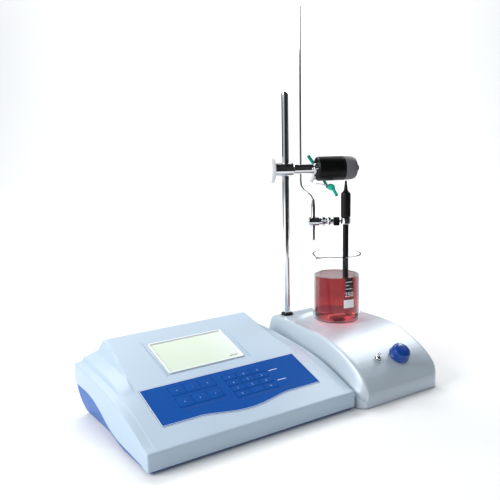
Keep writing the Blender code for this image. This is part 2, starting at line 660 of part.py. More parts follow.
def stirrer_controls():
    """Speed knob, toggle switch, and the motor with its magnet disc."""
    tilt = (FACE_TILT, 0.0, 0.0)
    knob = [(0, 17.0), (9.0, 16.6), (12.2, 15.0), (13.0, 12.5), (13.4, 5.0), (14.2, 4.4), (14.2, 1.6),
            (3.0, 1.6), (3.0, -8.0), (0, -8.0)]
    outline = scaled(knob)
    made = turned("stir_knob", outline, KNOB_BLUE, spot(*KNOB_SPOT), tilt)
    mark = spot(*KNOB_SPOT) + Matrix.Rotation(FACE_TILT, 4, "X") @ Vector((0.0, 6.0 * MM, 17.0 * MM))
    slot = box("knob_mark", (1.6 * MM, 11 * MM, 2 * MM), None, mark, tilt, group=CUTTERS)
    cut(made, slot)
    bush = [(2.0, 5.0), (3.0, 5.0), (3.0, 3.4), (5.2, 3.4), (5.2, 1.2), (3.1, 1.2), (3.1, -9.0),
            (0, -9.0), (0, -1.6), (2.0, -1.6), (2.0, 5.0)]
    turned("toggle_bush", scaled(bush), CHROME, spot(*TOGGLE_SPOT), tilt,
           SMALL_ROUND)
    swing = Matrix.Rotation(FACE_TILT, 4, "X") @ Vector((0.0, 0.0, 1.0 * MM))
    toggle_axle = axle("toggle_axle", spot(*TOGGLE_SPOT) + swing)
    lever = [(0, 11.0), (1.5, 10.2), (1.7, 8.8), (1.0, 5.0), (0.85, 0.0), (0.8, -1.4), (0, -1.6)]
    stick = turned("toggle_lever", scaled(lever), CHROME,
                   spot(*TOGGLE_SPOT) + swing, (FACE_TILT - TOGGLE_LEAN, 0.0, 0.0), SMALL_ROUND)
    carry(toggle_axle, stick)
    motor = [(0, 62.0), (2.0, 62.0), (2.0, 50.0), (7.0, 50.0), (7.0, 47.0), (20.0, 46.0), (20.0, 6.2),
             (0, 6.2)]
    turned("stir_motor", scaled(motor), STEEL, spot(*BEAKER, 0.0))
    disc = [(2.3, 66.0), (6.0, 66.0), (6.0, 63.0), (25.0, 63.0), (25.0, 56.0), (2.3, 56.0), (2.3, 66.0)]
    turned("magnet_rotor", scaled(disc), STEEL, spot(*BEAKER, 0.0))


# ------------------------------------------------------------------ stand and arm

ARM_DIR = Vector((math.cos(ARM_YAW), math.sin(ARM_YAW), 0.0))
ARM_SIDE = Vector((math.sin(ARM_YAW), -math.cos(ARM_YAW), 0.0))
ARM_TURN = (0.0, math.pi / 2, ARM_YAW)
STAND_FOOT = spot(ROD_X, ROD_Y, 0.0)


def on_arm(along, side=0.0, height=0.0):
    """A place on the arm: along it from the rod, out to its near side, and up from its axis."""
    return STAND_FOOT + ARM_DIR * along + ARM_SIDE * side + Vector((0.0, 0.0, ARM_Z + height))


def arm_route(places):
    """Places along the arm, to its side and up from its axis, given in millimetres."""
    return [on_arm(along * MM, side * MM, height * MM) for along, side, height in places]


def arm_turned(name, profile, material, side=0.0, height=0.0, sides=ROUND):
    """A turned piece lying along the arm, its profile given from the far end to the rod's end."""
    outline = scaled(profile)
    return turned(name, outline, material, on_arm(0.0, side, height), ARM_TURN, sides)


def stand():
    """Upright rod with its collar, and the clamp arm that slides on it."""
    collar = [(5.3, 81.4), (8.0, 81.4), (8.8, 80.6), (8.8, 78.3), (5.3, 78.3), (5.3, 81.4)]
    turned("rod_collar", scaled(collar), BLACK, STAND_FOOT)
    rod = [(0.0, ROD_TOP), (ROD_R * 0.6, ROD_TOP - 0.6 * MM), (ROD_R, ROD_TOP - 2.6 * MM),
           (ROD_R, ROD_BOTTOM), (0.0, ROD_BOTTOM)]
    stand_rod = turned("stand_rod", rod, CHROME, STAND_FOOT, sides=24)
    swing = axle("arm_swing_axle", STAND_FOOT)
    carry(swing, stand_rod)
    lift = axle("arm_height_axle", STAND_FOOT + Vector((0.0, 0.0, ARM_Z)), swing)
    bore = drum("rod_bore", ROD_R + GAP, -30 * MM, 30 * MM, on_arm(0.0))
    cross = drum("bent_rod_bore", BENT_R + GAP, -30 * MM, 30 * MM, on_arm(BENT_U), sides=12)
    screw_bore = drum("knob_bore", 2.8 * MM, -30 * MM, -6.8 * MM, on_arm(0.0), ARM_TURN, SMALL_ROUND)
    arm = arm_turned("clamp_arm", [(0, 46.0), (8.5, 46.0), (8.5, 43.0), (7.0, 42.4), (7.0, 11.6),
                                   (10.0, 10.4), (10.0, -16.0), (9.0, -17.0), (0, -17.0)], CHROME)
    for tool in (bore, cross, screw_bore):
        cut(arm, tool)
    knob = arm_turned("clamp_knob", [(0, -7.6), (2.5, -7.6), (2.5, -17.4), (17.6, -17.4),
                                     (19.5, -19.3), (19.5, -23.2), (17.8, -25.0), (0, -25.0)],
                      KNOB_WHITE)
    knob_axle = axle("clamp_knob_axle", on_arm(-17.0 * MM), lift)
    carry(lift, arm)
    carry(knob_axle, knob)
    return lift


def valve(lift):
    """Pinch valve at the arm's end, with its cap, adjusting screw, plunger, spout and stopcock."""
    plunger_side = 12.6 * MM
    body = arm_turned("valve_body", [(0, 91.7), (17.0, 91.7), (18.0, 90.7), (18.0, 48.2),
                                     (16.4, 46.3), (0, 46.3)], BLACK)
    cut(body, drum("plunger_bore", 2.8 * MM, 40 * MM, 56 * MM, on_arm(0.0, plunger_side, 2 * MM),
                   ARM_TURN, SMALL_ROUND))
    cap = arm_turned("valve_end_cap", [(3.0, 108.8), (11.5, 108.8), (15.0, 106.2), (17.4, 94.0),
                                       (17.4, 92.0), (3.0, 92.0), (3.0, 108.8)], GREY_CAP)
    screw = arm_turned("valve_screw", [(0, 113.2), (3.4, 113.2), (4.4, 112.2), (4.4, 109.2),
                                       (2.6, 109.2), (2.6, 93.0), (0, 93.0)], BLACK, sides=SMALL_ROUND)
    plunger = arm_turned("valve_plunger", [(0, 53.0), (2.4, 53.0), (2.4, 42.0), (4.0, 41.8),
                                           (4.0, 39.4), (1.6, 38.8), (0, 38.8)], CHROME,
                         plunger_side, 2 * MM, SMALL_ROUND)
    spout_turn = Matrix.Rotation(SPOUT_LEAN, 4, -ARM_SIDE).to_euler()
    outline = scaled([(1.6, 5.4), (3.3, 5.4), (3.5, 4.9), (3.5, -4.9), (3.2, -5.4), (0, -5.4),
                      (0, -3.4), (1.6, -3.4), (1.6, 5.4)])
    spout = turned("spout", outline, KNOB_WHITE, on_arm(40.6 * MM, 0.0, -14.6 * MM), spout_turn,
                   SMALL_ROUND)
    route = ((44.8, 0, -22.2), (47.5, 0, -23.4), (55.0, 0, -23.6), (62.9, 0, -25.2))
    tube = bar("glass_tube", arm_route(route), 1.7 * MM, GLASS_CLEAR, resolution=2)
    barrel_turn = (math.pi / 2, 0.0, ARM_YAW)
    centre = on_arm(69.0 * MM, 0.0, -27.6 * MM)
    outline = scaled([(1.9, 4.6), (4.4, 4.6), (5.0, 4.0), (5.0, -4.6), (1.9, -4.6), (1.9, 4.6)])
    barrel = turned("stopcock_body", outline, TEAL, centre, barrel_turn, SMALL_ROUND)
    route = ((36.5, -15, 20), (43, -20, 13), (55, -22, -4), (63, -19, -18), (65, -9, -25),
             (65.2, -3.4, -30.2))
    strap = bar("clip_strap", arm_route(route), 1.5 * MM, TEAL, resolution=2, fine=3)
    cut(barrel, strap, "UNION")
    key_axle = axle("stopcock_axle", centre, lift)
    outline = scaled([(0, 8.4), (3.2, 8.4), (3.6, 7.8), (3.6, 5.2), (1.6, 5.0), (1.6, -4.0), (0, -4.0)])
    key = turned("stopcock_key", outline, TEAL, centre, barrel_turn, SMALL_ROUND)
    outline = scaled([(0, 15.5), (1.7, 14.6), (2.6, 12.0), (2.6, 6.0), (1.8, 1.6), (0, 0.4)])
    tab_turn = Matrix.Rotation(TAB_LEAN, 4, -ARM_SIDE).to_euler()
    tab = turned("key_tab", outline, TEAL, centre + ARM_SIDE * 7.7 * MM, tab_turn, 12)
    cut(key, tab, "UNION")
    carry(lift, body, cap, spout, tube, barrel)
    carry(axle("valve_screw_axle", on_arm(100 * MM), lift), screw)
    carry(axle("plunger_axle", on_arm(46 * MM, plunger_side, 2 * MM), lift), plunger)
    carry(key_axle, key)


# ------------------------------------------------------------------ electrode holder

HOLDER_DIR = Vector((ELECTRODE[0] - LOWER_ROD[0], ELECTRODE[1] - LOWER_ROD[1], 0.0))
HOLDER_LENGTH = HOLDER_DIR.length
HOLDER_YAW = math.atan2(HOLDER_DIR.y, HOLDER_DIR.x)
HOLDER_TURN = (0.0, math.pi / 2, HOLDER_YAW)


def bent_rod():
    """Thin rod with an S bend, its lower end in a thicker tube."""
    top = on_arm(BENT_U)
    top.z = BENT_TOP
    foot = spot(*LOWER_ROD, LOWER_ROD_Z[1])
    points = [top]
    bend_top, bend_foot, steps = 279.5 * MM, 247.0 * MM, 9
    for n in range(steps + 1):
        share = n / steps
        where = top.lerp(foot, ease(share))
        where.z = bend_top + (bend_foot - bend_top) * share
        points.append(where)
    foot.z = bend_foot - 20 * MM
    points.append(foot)
    rod = bar("bent_rod", points, BENT_R, CHROME, kind="POLY", resolution=2)
    low, high = LOWER_ROD_Z[0], LOWER_ROD_Z[1] - 8 * MM
    sleeve = [(0.0, high), (1.9 * MM, high), (LOWER_ROD_R, high - 3 * MM), (LOWER_ROD_R, low + 0.8 * MM),
              (LOWER_ROD_R - 0.8 * MM, low), (0.0, low)]
    tube = turned("rod_sleeve", sleeve, CHROME, spot(*LOWER_ROD, 0.0), sides=SMALL_ROUND)
    return cut(tube, rod, "UNION")


def holder():
    """Cross clamp on the bent rod's lower tube, its lock nut, and the ring that holds the electrode."""
    place = spot(*LOWER_ROD, CLAMP_Z)
    outline = scaled([(0, 29.0), (3.6, 29.0), (3.6, 26.0), (6.0, 25.4), (6.0, 22.0), (4.4, 21.4),
                      (4.4, 18.0), (6.2, 17.4), (6.2, 13.0), (5.0, 12.4), (5.0, 9.6), (6.6, 9.0),
                      (6.6, -6.0), (5.6, -7.0), (0, -7.0)])
    barrel = turned("cross_clamp", outline, CHROME, place, HOLDER_TURN, 20)
    cut(barrel, drum("sleeve_bore", LOWER_ROD_R + GAP, -20 * MM, 20 * MM, place, sides=SMALL_ROUND))
    cut(barrel, drum("shank_bore", 2.1 * MM, 8 * MM, 60 * MM, place, HOLDER_TURN, SMALL_ROUND))
    outline = scaled([(2.1, 38.4), (5.6, 38.4), (6.4, 37.6), (6.4, 30.2), (5.6, 29.4), (2.1, 29.4),
                      (2.1, 38.4)])
    nut = turned("clamp_nut", outline, BLACK, place, HOLDER_TURN, 20)
    outline = scaled([(4.7, 5.0), (6.4, 5.0), (6.9, 4.4), (6.9, -3.4), (6.4, -4.0), (4.7, -4.0),
                      (4.7, 5.0)])
    ring = turned("electrode_ring", outline, CHROME, spot(*ELECTRODE, CLAMP_Z), sides=24)
    reach = HOLDER_LENGTH - 5.6 * MM
    outline = [(0.0, reach), (1.8 * MM, reach), (1.8 * MM, 10 * MM), (0.0, 10 * MM)]
    shank = turned("ring_shank", outline, CHROME, place, HOLDER_TURN, 12)
    cut(ring, shank, "UNION")
    return barrel, nut, ring


def electrode():
    """Combination electrode: a black cap with a boot on top, and the body down to its bulb."""
    cap = [(0, 280.2), (1.5, 280.2), (1.9, 276), (2.6, 266.5), (4.0, 263.4), (5.9, 261.6), (6.2, 259.8),
           (6.2, 227.4), (5.6, 226.0), (4.35, 226.0), (4.35, 212.4), (2.6, 212.4), (2.6, 220), (0, 220)]
    body = [(0, 219.6), (2.3, 219.6), (2.3, 212.1), (4.2, 212.1), (4.2, 124.0), (3.6, 118.0),
            (3.2, 114.0), (4.0, 110.6), (3.4, 107.6), (1.8, 105.8), (0, 105.2)]
    place = spot(*ELECTRODE, 0.0)
    parts = []
    for name, outline, look in (("electrode_cap", cap, BLACK), ("electrode_body", body, BLACK)):
        parts.append(turned(name, scaled(outline), look, place, sides=24))
    return parts


# ------------------------------------------------------------------ beaker

def beaker():
    """Low beaker with a spout, its liquid, and the stir bar on its floor."""
    floor = PLATE_Z + GAP
    top = floor + BEAKER_H
    inner = BEAKER_R - GLASS
    outline = [(0.0, floor + GLASS), (inner - 5 * MM, floor + GLASS),
               (inner - 1.4 * MM, floor + 3.4 * MM), (inner, floor + 7 * MM), (inner, top - 4 * MM), (inner + 1.4 * MM, top - 0.6 * MM),
               (inner + 2.0 * MM, top), (BEAKER_R + 1.4 * MM, top - 0.4 * MM),
               (BEAKER_R + 1.2 * MM, top - 1.6 * MM), (BEAKER_R, top - 5 * MM),
               (BEAKER_R, floor + 6 * MM), (BEAKER_R - 1.8 * MM, floor + 1.8 * MM),
               (BEAKER_R - 6 * MM, floor), (0.0, floor)]
    jar = turned("beaker", outline, GLASS_CLEAR, spot(*BEAKER, 0.0), sides=36)
    fill = [(0.0, LIQUID_TOP), (inner - GAP, LIQUID_TOP), (inner - GAP, floor + 7.2 * MM),
            (inner - 1.8 * MM, floor + 3.8 * MM), (inner - 5.2 * MM, floor + GLASS + GAP),
            (0.0, floor + GLASS + GAP)]
    liquid = turned("sample_liquid", fill, LIQUID_RED, spot(*BEAKER, 0.0), sides=32)
    cut(liquid, drum("electrode_well", 4.8 * MM, 103.6 * MM, 200 * MM, spot(*ELECTRODE, 0.0),
                     sides=SMALL_ROUND))
    cut(liquid, drum("bar_well", STIR_BAR_LENGTH / 2 + 1 * MM, 0.0, floor + GLASS + 8.4 * MM,
                     spot(*BEAKER, 0.0), sides=24))
    height = floor + GLASS + GAP + STIR_BAR_R
    half, r = STIR_BAR_LENGTH / 2, STIR_BAR_R
    capsule = [(0.0, half), (r * 0.6, half - 0.7 * MM), (r, half - 2.8 * MM), (r, 2 * MM),
               (r, -2 * MM), (r, 2.8 * MM - half), (r * 0.6, 0.7 * MM - half), (0.0, -half)]
    stir_bar = turned("stir_bar", capsule, PTFE, spot(*BEAKER, height), (0.0, math.pi / 2, 0.0),
                      SMALL_ROUND)
    return jar, liquid, stir_bar


def assemble():
    """Make every piece and hang the moving ones on their axes."""
    meter_base()
    meter_cover()
    display()
    keypad()
    feet_and_sockets()
    stirrer_housing()
    stirrer_base()
    stirrer_controls()
    lift = stand()
    valve(lift)
    slide = axle("bent_rod_axle", on_arm(BENT_U), lift)
    carry(slide, bent_rod())
    barrel, nut, ring = holder()
    turn = axle("cross_clamp_axle", spot(*LOWER_ROD, CLAMP_Z), slide)
    carry(turn, barrel, ring)
    carry(axle("clamp_nut_axle", spot(*LOWER_ROD, CLAMP_Z), turn), nut)
    carry(axle("electrode_axle", spot(*ELECTRODE, CLAMP_Z), turn), *electrode())
    jar, liquid, stir_bar = beaker()
    beaker_axle = axle("beaker_axle", spot(*BEAKER, PLATE_Z))
    carry(beaker_axle, jar, liquid)
    carry(axle("stir_bar_axle", spot(*BEAKER, PLATE_Z), beaker_axle), stir_bar)


assemble()
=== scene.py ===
import math

import bmesh
import bpy
import numpy as np
from mathutils import Matrix, Vector


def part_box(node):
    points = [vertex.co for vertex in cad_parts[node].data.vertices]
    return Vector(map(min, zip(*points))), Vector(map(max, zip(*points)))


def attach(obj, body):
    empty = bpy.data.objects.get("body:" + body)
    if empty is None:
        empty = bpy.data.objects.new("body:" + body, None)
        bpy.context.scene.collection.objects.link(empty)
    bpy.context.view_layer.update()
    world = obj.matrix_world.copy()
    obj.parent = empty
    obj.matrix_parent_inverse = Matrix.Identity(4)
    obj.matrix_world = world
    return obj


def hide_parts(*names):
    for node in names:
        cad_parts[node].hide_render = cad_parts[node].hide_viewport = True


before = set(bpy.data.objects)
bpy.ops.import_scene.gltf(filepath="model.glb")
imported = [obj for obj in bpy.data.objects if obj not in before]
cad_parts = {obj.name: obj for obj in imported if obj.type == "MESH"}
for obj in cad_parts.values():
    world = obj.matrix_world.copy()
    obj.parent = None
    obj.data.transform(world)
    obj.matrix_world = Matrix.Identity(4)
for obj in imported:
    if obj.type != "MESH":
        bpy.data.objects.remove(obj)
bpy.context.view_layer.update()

# ---- Studio -------------------------------------------------------------------------------------
# A pale paper floor that curves up into a wall, soft panels to the left, above the back and on the
# paper, and black cards that only shiny pieces or the glass see. The camera stands at the front left.

MM = 0.001
BENCH = np.array([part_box("top_cover")[0][0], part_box("top_cover")[0][1], 0.0])


def bench(x, y, z):
    """A place measured in millimetres from the meter's front left corner, up from the bench."""
    return BENCH + np.array([x, y, z]) * MM


def skin(name, grid, wrap=False, closed=False, material=None, sharp=38.0):
    """Surface over a grid of points (rows, columns, 3): four neighbours make a face. wrap joins the last
    column to the first, closed the last row to the first. Points that meet are merged."""
    rows, columns = grid.shape[:2]
    place = np.arange(rows * columns).reshape(rows, columns)
    if wrap:
        place = np.hstack([place, place[:, :1]])
    if closed:
        place = np.vstack([place, place[:1]])
    corners = (place[:-1, :-1], place[:-1, 1:], place[1:, 1:], place[1:, :-1])
    faces = np.stack([c.ravel() for c in corners], axis=1)
    mesh = bpy.data.meshes.new(name)
    mesh.from_pydata(grid.reshape(-1, 3).tolist(), [], faces.tolist())
    merged = bmesh.new()
    merged.from_mesh(mesh)
    bmesh.ops.remove_doubles(merged, verts=merged.verts, dist=2e-6)
    bmesh.ops.recalc_face_normals(merged, faces=merged.faces)
    merged.to_mesh(mesh)
    merged.free()
    mesh.shade_smooth()
    mesh.set_sharp_from_angle(angle=math.radians(sharp))
    if material:
        mesh.materials.append(material)
    piece = bpy.data.objects.new(name, mesh)
    bpy.context.scene.collection.objects.link(piece)
    return piece


def principled(name, rgb, roughness, **settings):
    """A material of one Principled shader with plain values."""
    made = bpy.data.materials.new(name)
    made.use_nodes = True
    shader = made.node_tree.nodes["Principled BSDF"]
    shader.inputs["Base Color"].default_value = (*rgb, 1.0)
    shader.inputs["Roughness"].default_value = roughness
    for socket, value in settings.items():
        shader.inputs[socket.replace("_", " ")].default_value = value
    return made


def backdrop(turn, depth, rise, bend):
    """A straight line along the floor, a quarter circle of the bend's radius and a straight line up,
    drawn out sideways and turned about the upright axis."""
    arc = np.linspace(0.0, math.pi / 2, 24)
    along = np.concatenate([[-4.0], depth + bend * np.sin(arc), [depth + bend]])
    up = np.concatenate([[0.0], bend - bend * np.cos(arc), [rise]])
    a, s = np.meshgrid(along, np.linspace(-9.0, 9.0, 3), indexing="ij")
    z = np.repeat(up[:, None], 3, axis=1)
    across = s * math.cos(turn) - a * math.sin(turn)
    back = s * math.sin(turn) + a * math.cos(turn)
    paper = principled("backdrop_paper", (0.80, 0.80, 0.80), 0.9)
    return skin("backdrop", np.stack([across, back, z], axis=-1), material=paper)


CAMERA_YAW, CAMERA_DOWN, CAMERA_ROLL = map(math.radians, (-33.86, 10.03, -1.146))
camera_data = bpy.data.cameras.new("camera")
camera_data.lens = 48.5
camera_data.shift_x = -0.0031
camera_data.shift_y = -0.0034
camera = bpy.data.objects.new("camera", camera_data)
aim = Matrix.Rotation(CAMERA_YAW, 4, "Z") @ Matrix.Rotation(math.pi / 2 - CAMERA_DOWN, 4, "X")
aim = aim @ Matrix.Rotation(CAMERA_ROLL, 4, "Z")
camera.matrix_world = Matrix.Translation(bench(-269.4, -603.9, 356.0)) @ aim
bpy.context.scene.collection.objects.link(camera)
bpy.context.scene.camera = camera

backdrop(CAMERA_YAW, 3.2, 3.6, 1.2)

LIGHTS = {
    "left_panel": ((-1.8, 0.35, 1.2), (0.0, 0.0, 0.1), (1.1, 1.1), 37.0),
    "back_panel": ((0.1, 1.6, 1.9), (0.0, 0.0, 0.0), (1.0, 0.8), 21.0),
    "right_back_panel": ((1.60, 0.56, 1.46), (0.17, -0.05, 0.07), (0.55, 0.55), 13.0),
    "backdrop_panel": ((1.6, 2.2, 2.9), (2.2, 3.4, 0.9), (3.0, 0.6), 85.0),
}
for light_name, (stand, target, panel, power) in LIGHTS.items():
    lamp = bpy.data.lights.new(light_name, "AREA")
    lamp.shape = "RECTANGLE"
    lamp.size, lamp.size_y = panel
    lamp.energy = power
    holder = bpy.data.objects.new(light_name, lamp)
    turn = (Vector(stand) - Vector(target)).to_track_quat("Z", "Y")
    holder.matrix_world = Matrix.Translation(stand) @ turn.to_matrix().to_4x4()
    bpy.context.scene.collection.objects.link(holder)


def dark_card(name, grid, through_glass=False):
    """A black sheet that is seen only in shiny pieces, or only through glass."""
    card = skin(name, np.array(grid, float), material=principled(name, (0.004, 0.004, 0.005), 0.9))
    card.visible_camera = False
    card.visible_diffuse = False
    card.visible_glossy = not through_glass
    card.visible_transmission = through_glass
    card.visible_shadow = False


def arc_wall(start, end, distance, height, foot=0.001):
    """Part of an upright round wall about the set, between two angles in degrees."""
    a = np.radians(np.linspace(start, end, 41))
    x, y = distance * np.cos(a), distance * np.sin(a)
    return [np.stack([x, y, np.full(41, z)], axis=1) for z in (foot, height)]


dark_card("front_card", arc_wall(-147, -23, 0.62, 1.2))
dark_card("glass_card", arc_wall(-150, -70, 0.9, 1.0, 0.22), through_glass=True)
dark_card("back_card", arc_wall(-20, 140, 1.3, 0.75))
dark_card("ceiling_card", [[(x, y, 2.4) for y in (-2.5, 0.0, 2.5)] for x in (-2.5, 0.0, 2.5)])

world = bpy.data.worlds.new("studio_air")
world.use_nodes = True
air = world.node_tree.nodes["Background"]
air.inputs["Color"].default_value = (0.90, 0.95, 1.0, 1.0)
air.inputs["Strength"].default_value = 0.53
bpy.context.scene.world = world
bpy.context.scene.view_settings.view_transform = "Standard"


# ---- Meter feet ---------------------------------------------------------------------------------
# Four soft black rubber discs pushed into the meter's floor, slightly narrower at the bottom, with
# a shallow ring cut in the sole.


def effect(name, inputs, outputs):
    """An empty node group with its sockets, and its two end nodes."""
    group = bpy.data.node_groups.new(name, "ShaderNodeTree")
    for kind, sockets in (("INPUT", inputs), ("OUTPUT", outputs)):
        for socket, sort, value in sockets:
            made = group.interface.new_socket(socket, in_out=kind, socket_type="NodeSocket" + sort)
            if value is not None:
                made.default_value = value
    return group, group.nodes.new("NodeGroupInput"), group.nodes.new("NodeGroupOutput")


def fitted(tree, kind, feeds=None, operation=None, **values):
    """A new shader node of the kind: plain values on its named sockets, and a link into each fed socket."""
    made = tree.nodes.new("ShaderNode" + kind)
    if operation:
        made.operation = operation
    for socket, value in values.items():
        made.inputs[socket.replace("_", " ")].default_value = value
    for socket, source in (feeds or {}).items():
        tree.links.new(source, made.inputs[socket])
    return made


def moulded_grain():
    """Fine pebbled texture of moulded plastic or rubber: small noise as height and as a slight change of
    roughness, and large soft noise that lightens and darkens the colour."""
    group, start, end = effect(
        "moulded_grain",
        (("Colour", "Color", (0.5, 0.5, 0.5, 1.0)), ("Grain Size", "Float", 900.0),
         ("Roughness", "Float", 0.4), ("Mottle", "Float", 0.04)),
        (("Colour", "Color", None), ("Roughness", "Float", None), ("Height", "Float", None)))
    given = start.outputs
    place = fitted(group, "TexCoord").outputs["Object"]
    fine = fitted(group, "TexNoise", {"Vector": place, "Scale": given["Grain Size"]}, Detail=3.0).outputs["Fac"]
    broad = fitted(group, "TexNoise", {"Vector": place}, Scale=14.0, Detail=4.0).outputs["Fac"]
    swing = fitted(group, "MapRange", {"Value": broad}, To_Min=-1.0).outputs["Result"]
    share = fitted(group, "Math", {0: swing, 1: given["Mottle"]}, "MULTIPLY_ADD")
    share.inputs[2].default_value = 1.0
    tint = fitted(group, "VectorMath", {0: given["Colour"], "Scale": share.outputs["Value"]}, "SCALE")
    rough = fitted(group, "Math", {0: fine, 2: given["Roughness"]}, "MULTIPLY_ADD")
    rough.inputs[1].default_value = 0.08
    results = {"Colour": tint.outputs["Vector"], "Roughness": rough.outputs["Value"], "Height": fine}
    for socket, source in results.items():
        group.links.new(source, end.inputs[socket])
    return group


MOULDED_GRAIN = moulded_grain()


def moulded(name, rgb, roughness, size=900.0, mottle=0.03, depth=0.06, **settings):
    """Moulded plastic or rubber with the grain's colour, roughness and height on its shader."""
    made = principled(name, rgb, roughness, **settings)
    tree = made.node_tree
    grain = tree.nodes.new("ShaderNodeGroup")
    grain.node_tree = MOULDED_GRAIN
    given = {"Colour": (*rgb, 1.0), "Grain Size": size, "Roughness": roughness, "Mottle": mottle}
    for socket, value in given.items():
        grain.inputs[socket].default_value = value
    bump = fitted(tree, "Bump", {"Height": grain.outputs["Height"]}, Strength=depth, Distance=0.2 * MM)
    shader = tree.nodes["Principled BSDF"]
    tree.links.new(grain.outputs["Colour"], shader.inputs["Base Color"])
    tree.links.new(grain.outputs["Roughness"], shader.inputs["Roughness"])
    tree.links.new(bump.outputs["Normal"], shader.inputs["Normal"])
    return made


def rounded(points, size, closed=False, steps=5):
    """Outline with softened corners: each corner B becomes the curve (1-t)^2 A + 2t(1-t) B + t^2 C between
    the places A and C that lie the given size before and after it."""
    points = np.array(points, float)
    before, after = np.roll(points, 1, axis=0), np.roll(points, -1, axis=0)
    inner = slice(None) if closed else slice(1, -1)
    corners, before, after = points[inner], before[inner], after[inner]
    ends = []
    for other in (before, after):
        gap = other - corners
        length = np.maximum(np.linalg.norm(gap, axis=1, keepdims=True), 1e-9)
        ends.append(corners + gap / length * np.minimum(size, 0.45 * length))
    t = np.linspace(0.0, 1.0, steps)[None, :, None]
    curve = (1 - t) ** 2 * ends[0][:, None] + 2 * t * (1 - t) * corners[:, None] + t ** 2 * ends[1][:, None]
    curve = curve.reshape(-1, points.shape[1])
    return curve if closed else np.vstack([points[:1], curve, points[-1:]])


def cross_axes(direction):
    """Three unit vectors: across, beside and along the direction."""
    along = np.array(direction, float) / np.linalg.norm(direction)
    helper = np.array([0.0, 0.0, 1.0]) if abs(along[2]) < 0.9 else np.array([1.0, 0.0, 0.0])
    across = np.cross(helper, along)
    across /= np.linalg.norm(across)
    return across, np.cross(along, across), along


def turned(name, profile, foot, direction=(0, 0, 1), material=None, corner=0.3, sides=72, closed=False,
           flutes=None, sharp=38.0):
    """Turned piece: each (radius, height) of the softened profile, in millimetres, goes round the axis,
    foot + along h + r (across cos a + beside sin a). flutes is (count, depth, low, high): between those
    heights the radius loses depth (1 - cos(count a)) / 2."""
    outline = rounded(profile, corner, closed) if corner else np.array(profile, float)
    around = np.linspace(0.0, math.tau, sides, endpoint=False)
    r = np.repeat(outline[:, :1], sides, axis=1)
    if flutes:
        count, depth, low, high = flutes
        inside = (outline[:, 1:] >= low) & (outline[:, 1:] <= high)
        r = r - inside * depth * (1 - np.cos(count * around))[None] / 2 * (r > 0.5 * r.max())
    r = np.maximum(r, 0.0)[..., None] * MM
    h = outline[:, 1, None, None] * MM
    across, beside, along = cross_axes(direction)
    a = around[None, :, None]
    grid = foot + along * h + r * (across * np.cos(a) + beside * np.sin(a))
    return skin(name, grid, wrap=True, closed=closed, material=material, sharp=sharp)


def middle(node):
    """The middle of a CAD node's box."""
    low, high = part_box(node)
    return (np.array(low) + np.array(high)) / 2


def stand_in(piece, body, *nodes):
    """The piece rides on the body in place of the nodes."""
    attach(piece, body)
    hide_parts(*nodes)
    return piece


RUBBER = moulded("black_rubber", (0.02, 0.02, 0.022), 0.75, size=500.0, depth=0.15)
FOOT = [(0, 1.9), (7.0, 1.9), (6.4, 0.0), (4.6, 0.0), (4.2, 0.5), (3.8, 0.0), (0, 0.0)]
for side in ("left", "right"):
    for end in ("front", "back"):
        node = f"meter_foot_{end}_{side}"
        foot = middle(node) * [1, 1, 0]
        stand_in(turned(f"foot_{end}_{side}", FOOT, foot, material=RUBBER, sides=48), "base", node)


# ---- Meter base ---------------------------------------------------------------------------------
# Blue moulded lower housing. Its joint line with the cover is a long S that runs low at the front and
# climbs to the back, and its sides tuck under towards the floor. The cover is pressed on from above.

METER_W, METER_D = ((np.array(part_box("top_cover")[1]) - BENCH) / MM)[:2]
SKIRT = np.array([(0, 4.2), (4, 4.3), (18, 6.4), (50, 8.2), (70, 9.2), (85, 10.8), (98, 13.6), (112, 18.8),
                  (125, 25.4), (140, 31.8), (155, 36.2), (175, 38.6), (214, 38.6)])
JOINT_LINE = 0.6
BASE_FLOOR = 2.2


def eased(x, line, reach):
    """Height of a broken line at x with its corners rounded: the mean of straight readings at places
    spread evenly within the reach on each side."""
    shifts = np.linspace(-reach, reach, 13)
    return np.mean([np.interp(x + s, line[:, 0], line[:, 1]) for s in shifts], axis=0)


def soft_step(t):
    """0 below 0, 1 above 1, and 3 t^2 - 2 t^3 between."""
    t = np.clip(t, 0.0, 1.0)
    return t * t * (3.0 - 2.0 * t)


def corner_outline(width, depth, inset, radius, along_side, along_end):
    """Plan of a rounded rectangle, anticlockwise from the front left corner, as (n, 2): each side's points
    are spaced evenly between two quarter circles."""
    r = max(radius - inset, 0.4)
    arcs = [(width - inset - r, inset + r, -90), (width - inset - r, depth - inset - r, 0),
            (inset + r, depth - inset - r, 90), (inset + r, inset + r, 180)]
    counts = (along_side, along_end, along_side, along_end)
    points = []
    for (x, y, start), count in zip(arcs, counts):
        a = np.radians(start + np.linspace(0.0, 90.0, 7))
        points.append(np.stack([x + r * np.cos(a), y + r * np.sin(a)], axis=1))
        ahead = arcs[(arcs.index((x, y, start)) + 1) % 4]
        b = math.radians(ahead[2])
        goal = np.array([ahead[0] + r * math.cos(b), ahead[1] + r * math.sin(b)])
        share = np.linspace(0.0, 1.0, count + 2)[1:-1, None]
        points.append(points[-1][-1] * (1 - share) + goal * share)
    return np.vstack(points)


